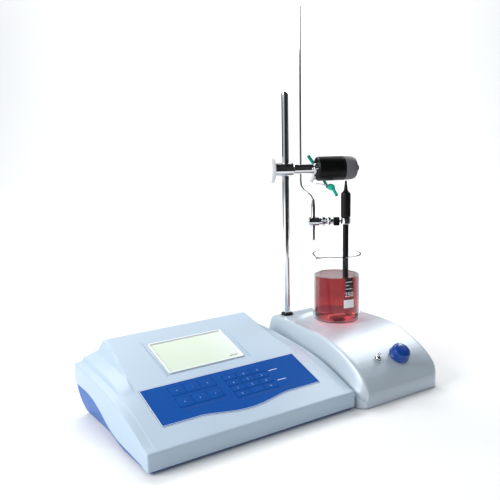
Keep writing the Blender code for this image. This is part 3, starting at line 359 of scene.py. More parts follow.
def base_tray():
    """Rings from the joint line down: share s of the height gives the inset deep - (deep - 1) sin(90 s)^0.7 mm,
    where deep grows from 2.2 mm at the front to 8.5 mm behind, and the ring's height is the floor plus s
    times the joint line's height there. The rear also leans in below."""
    rings = []
    for s in (*np.linspace(1.0, 0.1, 16), 0.05, 0.02, 0.0):
        plan = corner_outline(METER_W, METER_D, 0.0, 5.0, 90, 70)
        deep = 2.2 + 6.3 * soft_step((plan[:, 1] - 60) / 60)
        inset = deep - (deep - 1.0) * math.sin(math.pi / 2 * s) ** 0.7
        middle_line = np.array([METER_W / 2, METER_D / 2])
        plan = middle_line + (plan - middle_line) * (1 - inset[:, None] / middle_line)
        top = eased(plan[:, 1], SKIRT, 5.0) - JOINT_LINE
        lean = 9.0 * (1 - s) * np.clip((plan[:, 1] - 150) / 60, 0, 1) ** 2
        rings.append(np.column_stack([plan[:, 0], plan[:, 1] - lean, BASE_FLOOR + (top - BASE_FLOOR) * s]))
    ridge_top = rings[0] * [0, 1, 1] + [METER_W / 2, 0, 0]
    ridge_floor = rings[-1] * [0, 1, 1] + [METER_W / 2, 0, 0]
    grid = np.array([ridge_top, *rings, ridge_floor])
    return skin("meter_base", BENCH + grid * MM, wrap=True, material=BASE_BLUE)


BASE_BLUE = moulded("base_blue", (0.014, 0.11, 0.40), 0.38, size=1200.0, mottle=0.05)
stand_in(base_tray(), "base", "base_shell")


# ---- Rear sockets and switch ----------------------------------------------------------------------
# Moulded power socket with a centre pin, a plated bayonet socket for the electrode with its two lugs,
# a small round socket for a second probe, and a rocker switch.

SOCKET_BLACK = moulded("socket_black", (0.015, 0.015, 0.017), 0.35)
NICKEL = principled("nickel", (0.62, 0.6, 0.56), 0.22, Metallic=1.0)
REAR = (0, 1, 0)


def socket_place(node, z=24.0):
    """The middle of a socket's flange on the rear wall."""
    x = (middle(node)[0] - BENCH[0]) / MM
    return bench(x, METER_D - 1.2, z)


def round_socket(node, bore, flange, lip):
    """A black socket: a round flange that stands out by the lip, with a blind bore."""
    outline = [(bore, lip), (flange - 0.4, lip), (flange, lip - 0.4), (flange, -9.0), (0, -9.0), (0, -7.0),
               (bore, -7.0)]
    stand_in(turned(node + "_body", outline, socket_place(node), REAR, SOCKET_BLACK, closed=True, sides=48),
             "base", node)


round_socket("power_socket", 2.9, 6.0, 1.2)
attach(turned("power_socket_pin", [(0, -1.0), (0.9, -1.6), (0.9, -7.2), (0, -7.2)], socket_place("power_socket"),
               REAR, NICKEL, sides=24), "base")
bayonet = socket_place("electrode_socket")
stand_in(turned("electrode_socket_shell", [(3.9, 9.0), (4.7, 9.0), (4.7, 2.6), (6.0, 2.4), (6.0, -8.0), (0, -8.0),
                                           (0, -1.0), (3.9, -1.0)], bayonet, REAR, NICKEL, closed=True),
         "base", "electrode_socket")
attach(turned("electrode_socket_core", [(0.5, 4.0), (0.5, 3.0), (2.4, 3.0), (2.4, -1.2), (0, -1.2), (0, 4.0)],
               bayonet, REAR, principled("socket_core", (0.85, 0.83, 0.78), 0.5), closed=True, sides=40), "base")
for n, side in enumerate((1.0, -1.0)):
    lug = bayonet + np.array([4.5 * side, 6.6, 0.0]) * MM
    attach(turned(f"bayonet_lug_{n}", [(0, 1.4), (1.0, 1.2), (1.0, -0.4), (0, -0.4)], lug, (side, 0, 0), NICKEL,
                   sides=24), "base")
round_socket("probe_socket", 2.4, 5.0, 1.0)


def round_box(width, depth, radius, inset, steps=6):
    """Outline of a rectangle drawn in by the inset, with quarter circles at its corners, as (n, 2)."""
    r = max(radius - inset, 0.02)
    half = np.array([width / 2 - inset - r, depth / 2 - inset - r])
    a = np.radians(np.linspace(0.0, 90.0, steps))
    corners = []
    for n, signs in enumerate(((1, 1), (-1, 1), (-1, -1), (1, -1))):
        b = a + n * math.pi / 2
        corners.append(half * signs + r * np.stack([np.cos(b), np.sin(b)], axis=1))
    return np.vstack(corners)


def slab(name, outline, levels, place, axes, material=None, closed=False, sharp=38.0):
    """Stack of outlines: outline(inset) drawn at each (inset, height) in millimetres, set on the three axes
    from the place. Unless it is closed into a ring, its first and last outline shrink to one point."""
    rings = []
    for inset, height in levels:
        plan = outline(inset)
        rings.append(np.column_stack([plan, np.full(len(plan), height)]))
    if not closed:
        rings.insert(0, rings[0] * [0, 0, 1])
        rings.append(rings[-1] * [0, 0, 1])
    grid = np.array(rings)
    return skin(name, place + grid @ np.array(axes) * MM, wrap=True, closed=closed, material=material, sharp=sharp)


def edge_levels(low, high, radius, steps=5, inset=0.0):
    """(inset, height) levels of a slab whose upper edge is a quarter circle: inset r (1 - cos a) at height
    high - r (1 - sin a)."""
    a = np.radians(np.linspace(0.0, 90.0, steps))
    top = [(inset + radius * (1 - math.cos(b)), high - radius * (1 - math.sin(b))) for b in a]
    return [(inset, low), *top]


rocker_tilt = math.radians(6.0)
rocker_axes = np.array([(1, 0, 0), (0, -math.sin(rocker_tilt), math.cos(rocker_tilt)),
                        (0, math.cos(rocker_tilt), math.sin(rocker_tilt))]) * np.array([[-1], [1], [1]])
stand_in(slab("rocker_cap", lambda inset: round_box(18.6, 12.0, 1.0, inset), edge_levels(-3.4, 3.4, 1.0),
              middle("power_rocker"), rocker_axes, SOCKET_BLACK), "rocker", "power_rocker")


# ---- Meter cover --------------------------------------------------------------------------------
# Pale grey-blue moulded upper housing: side decks with a fine raised step along them, a sloped front
# for the keypad, and a raised middle that holds the display in a shallow wedge-shaped recess.

FRONT_Z, FRONT_SLOPE = 24.2, 0.3686
CREST_Y, CREST_Z, CREST_SLOPE = 90.4, 57.55, math.tan(math.radians(17.58))
CREST_BACK = 199.3
SIDE_EDGE = np.array([(0, 23.4), (8, 27.1), (25, 33.9), (45, 41.6), (58.5, 46.2), (75, 50.6), (91, 53.8),
                      (110, 56.6), (135, 59.4), (170, 62.8), (205, 65.2), (214, 64.2)])
SIDE_DECK = np.array([(0, 24.2), (90, 57.4), (97, 60.7), (104, 63.0), (112, 64.9), (118, 66.0), (135, 68.6),
                      (152, 70.8), (186, 73.6), (214, 74.6)])
DECK_RISE = np.array([(0, 0), (4, 0.05), (11.0, 0.13), (12.8, 0.50), (22, 0.76), (29, 1.0), (60, 1.0)])
BACK_FALL = np.array([(190, 0), (199.3, 0), (202, 1.4), (206, 7.0), (210, 14.0), (214, 21.0)])
PAD_X, PAD_Y, PAD_BOW = (33.0, 257.6), (30.0, 90.43), 8.44
WEDGE_X, WEDGE_Y = (78.0, 203.0), (103.0, 179.0)
PANE_X, PANE_Y = (84.0, 195.0), (109.0, 171.92)
WEDGE_TILT = math.radians(17.58) + math.atan(1.6 / 76.0)
EDGE_R = 2.0
LEDGE, CREST_FOOT = 10.9, 29.0
PAD_DEPTH, WEDGE_DEEPENS, PANE_PIT, GAP_WIDE = 2.13, 0.036, 7.0, 0.9


def filled(stops, gap):
    """Places from the first stop to the last, through each stop, no further apart than the gap."""
    runs = [np.linspace(a, b, max(2, int(math.ceil((b - a) / gap)) + 1))[:-1] for a, b in zip(stops, stops[1:])]
    return np.concatenate([*runs, stops[-1:]])


def pad_bow(x):
    """How far the keypad's front edge bows forward: a cosine to the power 1.5 over its middle 56%."""
    t = np.clip((x - METER_W / 2) / (0.56 * (PAD_X[1] - PAD_X[0]) / 2), -1, 1)
    return PAD_BOW * np.cos(math.pi / 2 * t) ** 1.5


def rounded_drop(depth_in, radius):
    """Drop of a quarter-circle edge at a place depth_in from the wall: r - sqrt(r^2 - (r - depth_in)^2)."""
    out = np.clip(radius - depth_in, 0.0, radius)
    return radius - np.sqrt(np.maximum(radius ** 2 - out ** 2, 0.0))


def cover_height(x, y):
    """Deck height rises from the side edge by DECK_RISE of its distance to the wall, with a 0.7 mm ledge and a
    short groove, deep by exp(-t^2), at the crest's foot. The middle follows the keypad's slope, then the
    crest's, then falls at the back. The share 1.5 t - 0.5 t^3 joins the two."""
    side = np.minimum(x, METER_W - x)
    low = eased(y, SIDE_EDGE, 5.0)
    deck = low + (eased(y, SIDE_DECK, 3.0) - low) * eased(side, DECK_RISE, 0.45)
    slope = FRONT_Z + FRONT_SLOPE * y
    crest = CREST_Z + (y - CREST_Y) * CREST_SLOPE
    centre = np.minimum(slope, np.where(y > 60, crest, slope))
    centre = np.where(y > CREST_BACK, CREST_Z + (CREST_BACK - CREST_Y) * CREST_SLOPE, centre)
    centre = centre - eased(y, BACK_FALL, 1.2)
    width = np.interp(y, [105, 125, 199], [1.4, 3.5, 8.5])
    deck = deck - 0.7 * (1 - soft_step((side - LEDGE) / 1.3)) * soft_step((y - 3.0) / 9.0)
    deck = deck - 0.8 * np.exp(-((side - CREST_FOOT - 0.6) / 0.8) ** 2) * np.exp(-((y - 98.0) / 8.0) ** 4)
    up = np.clip((side - CREST_FOOT) / width, 0.0, 1.0)
    return deck + (centre - deck) * (1.5 * up - 0.5 * up ** 3)


def within(v, ends):
    """True where v lies between the two ends."""
    return (v > ends[0]) & (v < ends[1])


def sunk(x, y):
    """Depth of the keypad's recess, of the display's wedge with the groove along its left edge, and of the
    pit under the display's frame."""
    on_pad = within(x, PAD_X) & (y > PAD_Y[0] - pad_bow(x)) & (y < PAD_Y[1])
    on_wedge = within(x, WEDGE_X) & within(y, WEDGE_Y)
    in_gap = within(x, (WEDGE_X[0], WEDGE_X[0] + GAP_WIDE)) & within(y, WEDGE_Y)
    ahead = WEDGE_Y[1] - y
    wedge = ahead * WEDGE_DEEPENS + 1.6 * in_gap * np.clip(ahead / 20.0, 0.0, 1.0)
    return on_pad * PAD_DEPTH + on_wedge * wedge + within(x, PANE_X) * within(y, PANE_Y) * PANE_PIT


def block(name, top, bottom, material, sharp=38.0):
    """Closed solid between two grids of the same size: each row runs over the top and back under the bottom,
    and the first and last rows are shut by a row that lies wholly on the bottom."""
    ring = np.concatenate([top, bottom[:, ::-1]], axis=1)
    shut = np.concatenate([bottom, bottom[:, ::-1]], axis=1)
    grid = np.concatenate([shut[:1], ring, shut[-1:]])
    return skin(name, BENCH + grid * MM, wrap=True, material=material, sharp=sharp)


def meter_cover():
    """The cover's grid: lines close together at each step, and rows that bow with the keypad's front edge."""
    edge = [0, 0.08, 0.3, 0.7, 1.2, 2.0]
    fine = [*edge, 10.4, LEDGE, 11.5, 12.2, 12.9, 13.5, 28.4, 28.9, 29.3, 29.7, 30.2, 31.0, 33.5, 38.0]
    xs = [*fine, *[METER_W - v for v in fine], WEDGE_X[0] + GAP_WIDE - 0.12, WEDGE_X[0] + GAP_WIDE + 0.12]
    xs += [v for e in (*PAD_X, *WEDGE_X, *PANE_X) for v in (e - 0.12, e + 0.12)]
    ys = [*edge, 12.0, 50.0, 197.0, 204.0, *[METER_D - v for v in edge]]
    ys += [v for e in (*PAD_Y, *WEDGE_Y, *PANE_Y) for v in (e - 0.12, e + 0.12)]
    x, y = np.meshgrid(filled(sorted(xs), 2.4), filled(sorted(ys), 2.4), indexing="xy")
    follow = np.interp(y, [8, 27, PAD_Y[0] + 0.5, 62], [0, 1, 1, 0])
    y = y - pad_bow(x) * follow
    depth = sunk(x, y)
    side = np.minimum(x, METER_W - x)
    end = np.minimum(y, METER_D - y)
    out_x, out_y = np.clip(EDGE_R - side, 0, EDGE_R), np.clip(EDGE_R - end, 0, EDGE_R)
    reach = np.maximum(out_x, out_y)
    span = np.maximum(np.hypot(out_x, out_y), 1e-9)
    z = cover_height(x, y) - depth - (EDGE_R - np.sqrt(EDGE_R ** 2 - reach ** 2))
    pull_x, pull_y = out_x - out_x * reach / span, out_y - out_y * reach / span
    x = x + pull_x * np.sign(METER_W / 2 - x)
    y = y + pull_y * np.sign(METER_D / 2 - y)
    top = np.stack([x, y, z], axis=-1)
    bottom = np.stack([x, y, eased(y, SKIRT, 5.0)], axis=-1)
    return block("meter_cover", top, bottom, SHELL_GREY, sharp=32.0)


SHELL_GREY = moulded("shell_grey", (0.43, 0.54, 0.645), 0.40, size=1500.0, mottle=0.02, depth=0.05)
stand_in(meter_cover(), "base", "top_cover")


# ---- Display ------------------------------------------------------------------------------------
# A white moulded frame lies in the wedge with its edges rounded over, round a glossy pale green liquid
# crystal panel that carries one small dark mark and a painted glare towards its right edge.

def tilted(angle):
    """Three axes of a surface that faces up and forward by the angle: across, up the slope, and out of it."""
    return np.array([(1, 0, 0), (0, math.cos(angle), math.sin(angle)), (0, -math.sin(angle), math.cos(angle))])


PANE_AXES = tilted(WEDGE_TILT)
PANE_WIDE = PANE_X[1] - PANE_X[0]
PANE_LONG = (PANE_Y[1] - PANE_Y[0]) / math.cos(WEDGE_TILT)
pane_y = (PANE_Y[0] + PANE_Y[1]) / 2
pane_z = CREST_Z + (WEDGE_Y[1] - CREST_Y) * CREST_SLOPE - (WEDGE_Y[1] - pane_y) * math.tan(WEDGE_TILT)
PANE_PLACE = bench((PANE_X[0] + PANE_X[1]) / 2, pane_y, pane_z)


def pane_outline(inset):
    """The frame's outline, drawn in by the inset."""
    return round_box(PANE_WIDE, PANE_LONG, 2.2, inset)


FRAME_WHITE = moulded("frame_white", (0.86, 0.89, 0.91), 0.32, size=1200.0, mottle=0.01)
frame_levels = [(0.4, -3.0), (0.4, 0.1), (0.55, 0.5), (0.95, 0.75), (1.6, 0.8), (2.3, 0.55), (3.0, -0.1), (3.2, -0.7),
                (3.2, -3.0)]
stand_in(slab("display_surround", pane_outline, frame_levels, PANE_PLACE, PANE_AXES, FRAME_WHITE, closed=True),
         "base", "display_frame")


def crystal_green_painted_glare():
    """Glossy pale green panel with a painted glare: a ramp across it grows whiter towards the right edge."""
    made = principled("crystal_green_painted_glare", (0.80, 0.88, 0.74), 0.16, Coat_Weight=0.4, Coat_Roughness=0.05)
    tree = made.node_tree
    place = fitted(tree, "TexCoord").outputs["Object"]
    centre = fitted(tree, "Mapping", {"Vector": place}, Location=(-PANE_PLACE[0], 0.0, 0.0)).outputs["Vector"]
    across = fitted(tree, "SeparateXYZ", {"Vector": centre}).outputs["X"]
    half = 55.0 * MM
    spread = fitted(tree, "MapRange", {"Value": across}, From_Min=-half, From_Max=half).outputs["Result"]
    ramp = fitted(tree, "ValToRGB", {"Fac": spread})
    # The lighter right end of the ramp is painted glare, not a tint of the crystal.
    left, right = ramp.color_ramp.elements
    left.position, left.color, right.color = 0.6, (0.70, 0.80, 0.66, 1.0), (0.76, 0.84, 0.78, 1.0)
    tree.links.new(ramp.outputs["Color"], tree.nodes["Principled BSDF"].inputs["Base Color"])
    return made


stand_in(slab("display_panel", lambda inset: round_box(PANE_WIDE - 6.9, PANE_LONG - 6.9, 0.8, inset),
              [(0.0, -6.0), (0.0, -0.8), (0.2, -0.6)], PANE_PLACE, PANE_AXES, crystal_green_painted_glare()),
         "base", "lcd_panel")


def ribbon(name, path, width, place, axes, material, height=0.03):
    """Flat printed line: the path's points (x, y) on the surface, in millimetres, moved half the width to each
    side along the path's own normal."""
    path = np.array(path, float)
    run = np.gradient(path, axis=0)
    normal = np.stack([-run[:, 1], run[:, 0]], axis=1)
    normal /= np.maximum(np.linalg.norm(normal, axis=1, keepdims=True), 1e-9)
    edges = np.stack([path - normal * width / 2, path + normal * width / 2])
    grid = np.concatenate([edges, np.full((*edges.shape[:2], 1), height)], axis=-1)
    return skin(name, place + grid @ np.array(axes) * MM, material=material)


PRINT_DARK = principled("dark_print", (0.05, 0.05, 0.06), 0.5)
for n, (x0, x1) in enumerate(((37.0, 41.5), (42.2, 44.0), (44.6, 48.6))):
    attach(ribbon(f"display_mark_{n}", [(x0, -25.4 + 0.1 * n), (x1, -25.4 + 0.1 * n)], 1.5, PANE_PLACE, PANE_AXES,
                   PRINT_DARK, -0.55), "base")


# ---- Keypad -------------------------------------------------------------------------------------
# A deep blue membrane plate with a bowed front edge, white printed lines along its border, and
# eighteen soft keys with pale legends: six for functions and twelve for digits. A dark line under
# each key group is painted shadow of the group's raised edge.

PAD_TILT = math.atan(FRONT_SLOPE)
PAD_AXES = tilted(PAD_TILT)
PAD_PLACE = bench(METER_W / 2, PAD_Y[0], FRONT_Z + FRONT_SLOPE * PAD_Y[0])
PAD_BLUE = moulded("pad_blue", (0.002, 0.072, 0.33), 0.55, size=2200.0, mottle=0.06, depth=0.02,
                   Specular_IOR_Level=0.06)
PRINT_WHITE = principled("white_print", (0.75, 0.82, 0.92), 0.45)
PRINT_PALE = principled("pale_print", (0.30, 0.45, 0.72), 0.45)
# Deep blue for the painted shadow lines below the two raised key groups.
GROUP_SHADOW_BLUE = principled("painted_group_shadow", (0.004, 0.03, 0.16), 0.4)


def finished(material, *nodes):
    """The CAD nodes stay as they are and get the material."""
    for node in nodes:
        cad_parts[node].data.materials.clear()
        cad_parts[node].data.materials.append(material)


finished(PAD_BLUE, "keypad_overlay")


def pad_line(name, path, width, material=PRINT_WHITE, height=0.03):
    """A printed line on the keypad's plate."""
    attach(ribbon(name, path, width, PAD_PLACE, PAD_AXES, material, height), "base")


half = (PAD_X[1] - PAD_X[0]) / 2
long = (PAD_Y[1] - PAD_Y[0]) / math.cos(PAD_TILT)
bow_x = np.linspace(-half + 0.3, half - 0.3, 121)
bow_y = -pad_bow(bow_x + METER_W / 2) / math.cos(PAD_TILT)
pad_line("pad_line_back", [(-half + 0.4, long - 0.7), (half - 0.4, long - 0.7)], 0.7)
pad_line("pad_line_left", [(-half + 0.8, 0.6), (-half + 0.8, long - 0.6)], 0.9)
pad_line("pad_line_front", np.stack([bow_x, bow_y + 1.2], axis=1), 0.45)
pad_line("pad_groove_front", np.stack([bow_x, bow_y - 1.5], axis=1), 0.35, PRINT_DARK, 0.02)


def legend(name, text, size, place, axes, material, height=0.04):
    """A printed sign: the outline of its letters filled flat, centred, and laid on the axes at the place."""
    words = bpy.data.curves.new(name, "FONT")
    words.body = text
    words.size = size
    words.align_x = "CENTER"
    words.align_y = "CENTER"
    words.resolution_u = 3
    guide = bpy.data.objects.new(name + "_guide", words)
    bpy.context.scene.collection.objects.link(guide)
    bpy.context.view_layer.update()
    mesh = bpy.data.meshes.new_from_object(guide.evaluated_get(bpy.context.evaluated_depsgraph_get()))
    bpy.data.objects.remove(guide)
    flat = np.zeros(len(mesh.vertices) * 3)
    mesh.vertices.foreach_get("co", flat)
    flat = flat.reshape(-1, 3) + [0, 0, height]
    mesh.vertices.foreach_set("co", (place + flat @ np.array(axes) * MM).ravel())
    mesh.materials.clear()
    mesh.materials.append(material)
    piece = bpy.data.objects.new(name, mesh)
    bpy.context.scene.collection.objects.link(piece)
    return piece


for n, sign in enumerate("+-=<>/7894561230.%", 1):
    node = f"key_{n:02d}"
    low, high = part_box(node)
    wide = (high[0] - low[0]) / MM
    tall, letter = (15.6, 4.6) if n <= 6 else (8.6, 4.0)
    cap = slab(f"key_cap_{n:02d}", lambda inset, w=wide, h=tall: round_box(w, h, 1.6, inset),
               edge_levels(-0.8, 0.55, 0.25), middle(node), PAD_AXES, PAD_BLUE)
    stand_in(cap, node + "_body", node)
    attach(legend(f"key_sign_{n:02d}", sign, letter, middle(node), PAD_AXES, PRINT_PALE, 0.58), node + "_body")
for n, (x, y) in enumerate(((212.4, 70.4), (212.9, 51.4))):
    across, up = x - METER_W / 2, (y - PAD_Y[0]) / math.cos(PAD_TILT)
    pad_line(f"pad_label_{n}", [(across - 7, up), (across + 6, up)], 0.9)
# Painted shadow: a dark line below each raised key group, where its edge shades the plate.
pad_line("pad_group_shadow_left", [(-74.4, 16.4), (-21.5, 16.4)], 0.6, GROUP_SHADOW_BLUE)
pad_line("pad_group_shadow_right", [(-2.6, 8.6), (78.0, 8.6)], 0.6, GROUP_SHADOW_BLUE)


# ---- Stirrer housing ----------------------------------------------------------------------------
# Silver-grey painted moulding: a low upright band in front, a face that curves up into a flat top with
# a sunken place for the beaker, a raised rear, and a rounded flank that slopes to the meter.

FACE = np.array([(-10, 17.9), (-9.2, 21.0), (-7.5, 25.5), (-5, 29.5), (0, 36.3), (6, 41.8), (12, 46.5), (19, 50.9),
                 (26, 54.6), (34, 58.4), (42, 61.9), (50, 65.1), (58, 67.8), (66, 70.1), (74, 71.9), (82, 73.3),
                 (92, 74.4), (99, 74.9), (112, 75.8), (126, 76.7), (140, 77.5), (155, 78.0), (196, 78.0), (200, 77.2),
                 (202, 75.6), (203, 73.0)])
FLANK = np.array([(0.0, 0.40), (0.25, 0.47), (0.5, 0.62), (0.75, 0.83), (1.0, 0.985), (1.2, 1.0), (9.0, 1.0)])
LEFT_WALL = np.array([(-10, 302.0), (-7.5, 299.0), (-5, 296.6), (0, 294.0), (6, 293.0), (210, 293.0)])
RIGHT_WALL = np.array([(-10, 428.0), (-9.2, 431.0), (-7.5, 433.3), (-5, 435.0), (0, 436.2), (6, 436.5),
                       (210, 436.5)])
CREASE = 305.0
DISH_FLOOR, DISH_BACK, DISH_CURVE = 74.9, 176.0, 130.0
DISH_LEFT, DISH_MIDDLE = 307.5, 370.75


def bored(piece, foot, direction, radius, reach):
    """The piece with a round hole of the radius along the direction, reach to each side of the foot."""
    drill = turned("drill", [(0, reach), (radius, reach), (radius, -reach), (0, -reach)], foot, direction,
                   corner=0, sides=64)
    hole = piece.modifiers.new("hole", "BOOLEAN")
    hole.object = drill
    hole.solver = "EXACT"
    bpy.context.view_layer.update()
    made = bpy.data.meshes.new_from_object(piece.evaluated_get(bpy.context.evaluated_depsgraph_get()))
    piece.modifiers.clear()
    piece.data = made
    bpy.data.objects.remove(drill)
    return piece


def stirrer_shell():
    """Rows run back; in each row the left flank rises to the crease by FLANK, and the top follows FACE with a
    quarter-circle edge on the right. The dish takes back the rise behind y = 96 inside its bowed edge."""
    ys = filled([-10, -9.8, -9.2, -7.5, 0, 30, 90, 132, 146, 165, 180, 195, 200, 202, 202.7, 203], 1.8)
    flank = np.linspace(0.0, 1.0, 15)
    face = filled([0.0, 0.03, 0.9, 0.955, 0.985, 0.996, 1.0], 0.022)
    y = np.repeat(ys[:, None], len(flank) + len(face) - 1, axis=1)
    left, right = eased(y, LEFT_WALL, 0.8), eased(y, RIGHT_WALL, 0.8)
    run = np.concatenate([flank, 1.0 + face[1:]])[None, :]
    x = np.where(run <= 1.0, left + (CREASE - left) * run, CREASE + (right - CREASE) * (run - 1.0))
    rise = eased(y, FACE, 1.5)
    across = (x - left) / (CREASE - left)
    edge_y = DISH_BACK - (x - DISH_MIDDLE) ** 2 / DISH_CURVE
    dish = soft_step((edge_y - y) / 5.0 + 0.5) * soft_step((x - DISH_LEFT) / 6.0)
    rise = rise - np.where(y > 96, rise - DISH_FLOOR, 0.0) * dish
    z = rise * eased(across, FLANK, 0.12) - rounded_drop(right - x, 4.5)
    top, bottom = np.stack([x, y, z], axis=-1), np.stack([x, y, np.full_like(x, 1.2)], axis=-1)
    return block("stirrer_shell", top, bottom, STIRRER_SILVER, sharp=30.0)


STIRRER_SILVER = moulded("stirrer_silver", (0.49, 0.565, 0.63), 0.36, size=1800.0, mottle=0.02, depth=0.04,
                         Metallic=0.15, Coat_Weight=0.3, Coat_Roughness=0.3)
ROD_FOOT = middle("stand_rod") * [1, 1, 0]
shell = bored(stirrer_shell(), ROD_FOOT + np.array([0, 0, 76]) * MM, (0, 0, 1), 5.3, 9.0)
stand_in(shell, "base", "stirrer_housing")

PLAIN_STEEL = moulded("plain_steel", (0.45, 0.45, 0.46), 0.35, size=300.0, mottle=0.05, depth=0.03, Metallic=1.0)
finished(PLAIN_STEEL, "stirrer_base_plate", "stir_motor", "magnet_rotor")


# ---- Stirrer controls ---------------------------------------------------------------------------
# A glossy blue speed knob with a domed top over a short skirt, and a plated toggle switch: a threaded
# bush with its six-sided nut and a tapered lever.

FACE_TILT = math.radians(33.0)
FACE_OUT = np.array([0.0, -math.sin(FACE_TILT), math.cos(FACE_TILT)])
KNOB_PLACE = bench(382.0, 14.5, 47.9)
TOGGLE_PLACE = bench(346.0, 17.5, 49.9)
KNOB_BLUE = moulded("knob_blue", (0.001, 0.045, 0.26), 0.25, size=700.0, mottle=0.05, depth=0.01,
                    Specular_IOR_Level=0.35, Coat_Weight=0.3, Coat_Roughness=0.08)
CHROME = principled("chrome_plate", (0.80, 0.81, 0.83), 0.07, Metallic=1.0)


def worn_polish():
    """Polish marks: a noise squeezed along the height that changes the gloss a little."""
    group, start, end = effect("polish_marks", (("Roughness", "Float", 0.06),), (("Roughness", "Float", None),))
    place = fitted(group, "TexCoord").outputs["Object"]
    stretch = fitted(group, "Mapping", {"Vector": place}, Scale=(40.0, 40.0, 400.0)).outputs["Vector"]
    marks = fitted(group, "TexNoise", {"Vector": stretch}, Scale=6.0, Detail=4.0).outputs["Fac"]
    rough = fitted(group, "Math", {0: marks, 2: start.outputs["Roughness"]}, "MULTIPLY_ADD")
    rough.inputs[1].default_value = 0.07
    group.links.new(rough.outputs["Value"], end.inputs["Roughness"])
    return group


polish = CHROME.node_tree.nodes.new("ShaderNodeGroup")
polish.node_tree = worn_polish()
shine = CHROME.node_tree.nodes["Principled BSDF"]
CHROME.node_tree.links.new(polish.outputs["Roughness"], shine.inputs["Roughness"])

knob = turned("speed_knob_cap", [(0, 17.0), (5.0, 16.8), (9.0, 15.8), (12.0, 13.4), (13.0, 10.5), (13.3, 5.0),
                                 (14.2, 4.2), (14.2, 1.6), (3.0, 1.6), (3.0, -8.0), (0, -8.0)],
              KNOB_PLACE, FACE_OUT, KNOB_BLUE, corner=1.2, sides=96, flutes=(32, 0.25, 5.5, 12.5))
stand_in(knob, "speed_knob", "stir_knob")
KNOB_MARK = principled("knob_mark", (0.85, 0.87, 0.9), 0.4)
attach(ribbon("speed_knob_line", [(0.0, 5.0), (0.0, 9.0), (0.0, 12.0)], 1.2, KNOB_PLACE, tilted(FACE_TILT),
               KNOB_MARK, 17.05), "speed_knob")

stand_in(turned("toggle_bushing", [(2.0, 5.0), (2.6, 5.0), (3.0, 4.6), (2.8, 4.3), (3.0, 4.0), (2.8, 3.7), (3.0, 3.4),
                                   (3.0, 1.2), (3.1, 1.2), (3.1, -9.0), (0, -9.0), (0, -1.6), (2.0, -1.6)],
                TOGGLE_PLACE, FACE_OUT, CHROME, corner=0.1, closed=True), "base", "toggle_bush")
hexagon = np.array([(math.cos(a), math.sin(a)) for a in np.arange(6) * math.pi / 3])
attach(slab("toggle_nut", lambda inset: rounded(hexagon * (5.4 - inset), 0.5, True), edge_levels(1.2, 3.2, 0.5),
             TOGGLE_PLACE, tilted(FACE_TILT), CHROME), "base")
lean = FACE_TILT - math.radians(11.0)
lever_out = np.array([0.0, -math.sin(lean), math.cos(lean)])
stand_in(turned("toggle_stick", [(0, 11.0), (1.3, 10.6), (1.8, 9.3), (1.5, 7.8), (1.0, 5.0), (0.85, 0.0), (0.8, -1.4),
                                 (0, -1.6)], TOGGLE_PLACE + FACE_OUT * MM, lever_out, CHROME, corner=0.5, sides=40),
         "toggle", "toggle_lever")


# ---- Stand --------------------------------------------------------------------------------------
# A polished upright rod stands in a rubber-edged collar. The chromed clamp arm slides on it and is
# held by a white thumb screw.

BLACK_PLASTIC = moulded("black_plastic", (0.002, 0.002, 0.0025), 0.42, size=1000.0, mottle=0.08, depth=0.06,
                        Specular_IOR_Level=0.3)
stand_in(turned("rod_collar_ring", [(5.3, 81.4), (8.0, 81.4), (8.8, 80.6), (8.8, 78.3), (5.3, 78.3)], ROD_FOOT,
                material=BLACK_PLASTIC, closed=True), "base", "rod_collar")
stand_in(turned("upright_rod", [(0, 408.0), (3.4, 407.6), (5.0, 405.6), (5.0, 8.0), (0, 8.0)], ROD_FOOT,
                material=CHROME, corner=1.2, sides=96), "stand", "stand_rod")

ARM_YAW = math.radians(-24.0)
ARM_OUT = np.array([math.cos(ARM_YAW), math.sin(ARM_YAW), 0.0])
ARM_NEAR = np.array([math.sin(ARM_YAW), -math.cos(ARM_YAW), 0.0])
ARM_HEIGHT = 296.5
BENT_ALONG = 22.7


def on_arm(along, near=0.0, up=0.0):
    """A place along the arm from the rod, out towards its near side, and up from its axis, in millimetres."""
    return ROD_FOOT + (ARM_OUT * along + ARM_NEAR * near + np.array([0, 0, ARM_HEIGHT + up])) * MM


arm = turned("clamp_arm_bar", [(0, 46.0), (8.5, 46.0), (8.5, 43.2), (7.0, 42.4), (7.0, 12.2), (10.0, 10.4),
                               (10.0, -16.0), (9.2, -17.0), (0, -17.0)], on_arm(0), ARM_OUT, CHROME, corner=0.5,
             sides=96)
bored(arm, on_arm(0), (0, 0, 1), 5.3, 20.0)
bored(arm, on_arm(BENT_ALONG), (0, 0, 1), 1.8, 20.0)
bored(arm, on_arm(-17.0), ARM_OUT, 2.8, 10.2)
stand_in(arm, "arm", "clamp_arm")
KNOB_WHITE = moulded("knob_white", (0.80, 0.81, 0.82), 0.35, size=900.0, mottle=0.02)
stand_in(turned("clamp_thumb_screw", [(0, -7.6), (2.5, -7.6), (2.5, -17.4), (17.6, -17.4), (19.5, -18.6),
                                      (19.5, -23.6), (17.6, -25.0), (6.0, -24.6), (0, -24.4)], on_arm(0), ARM_OUT,
                KNOB_WHITE, corner=0.7, sides=120), "arm_screw", "clamp_knob")


# ---- Pinch valve --------------------------------------------------------------------------------
# A black cylindrical coil housing on the arm's end, with a grey end cap, an adjusting screw and a
# chromed plunger beside the arm.

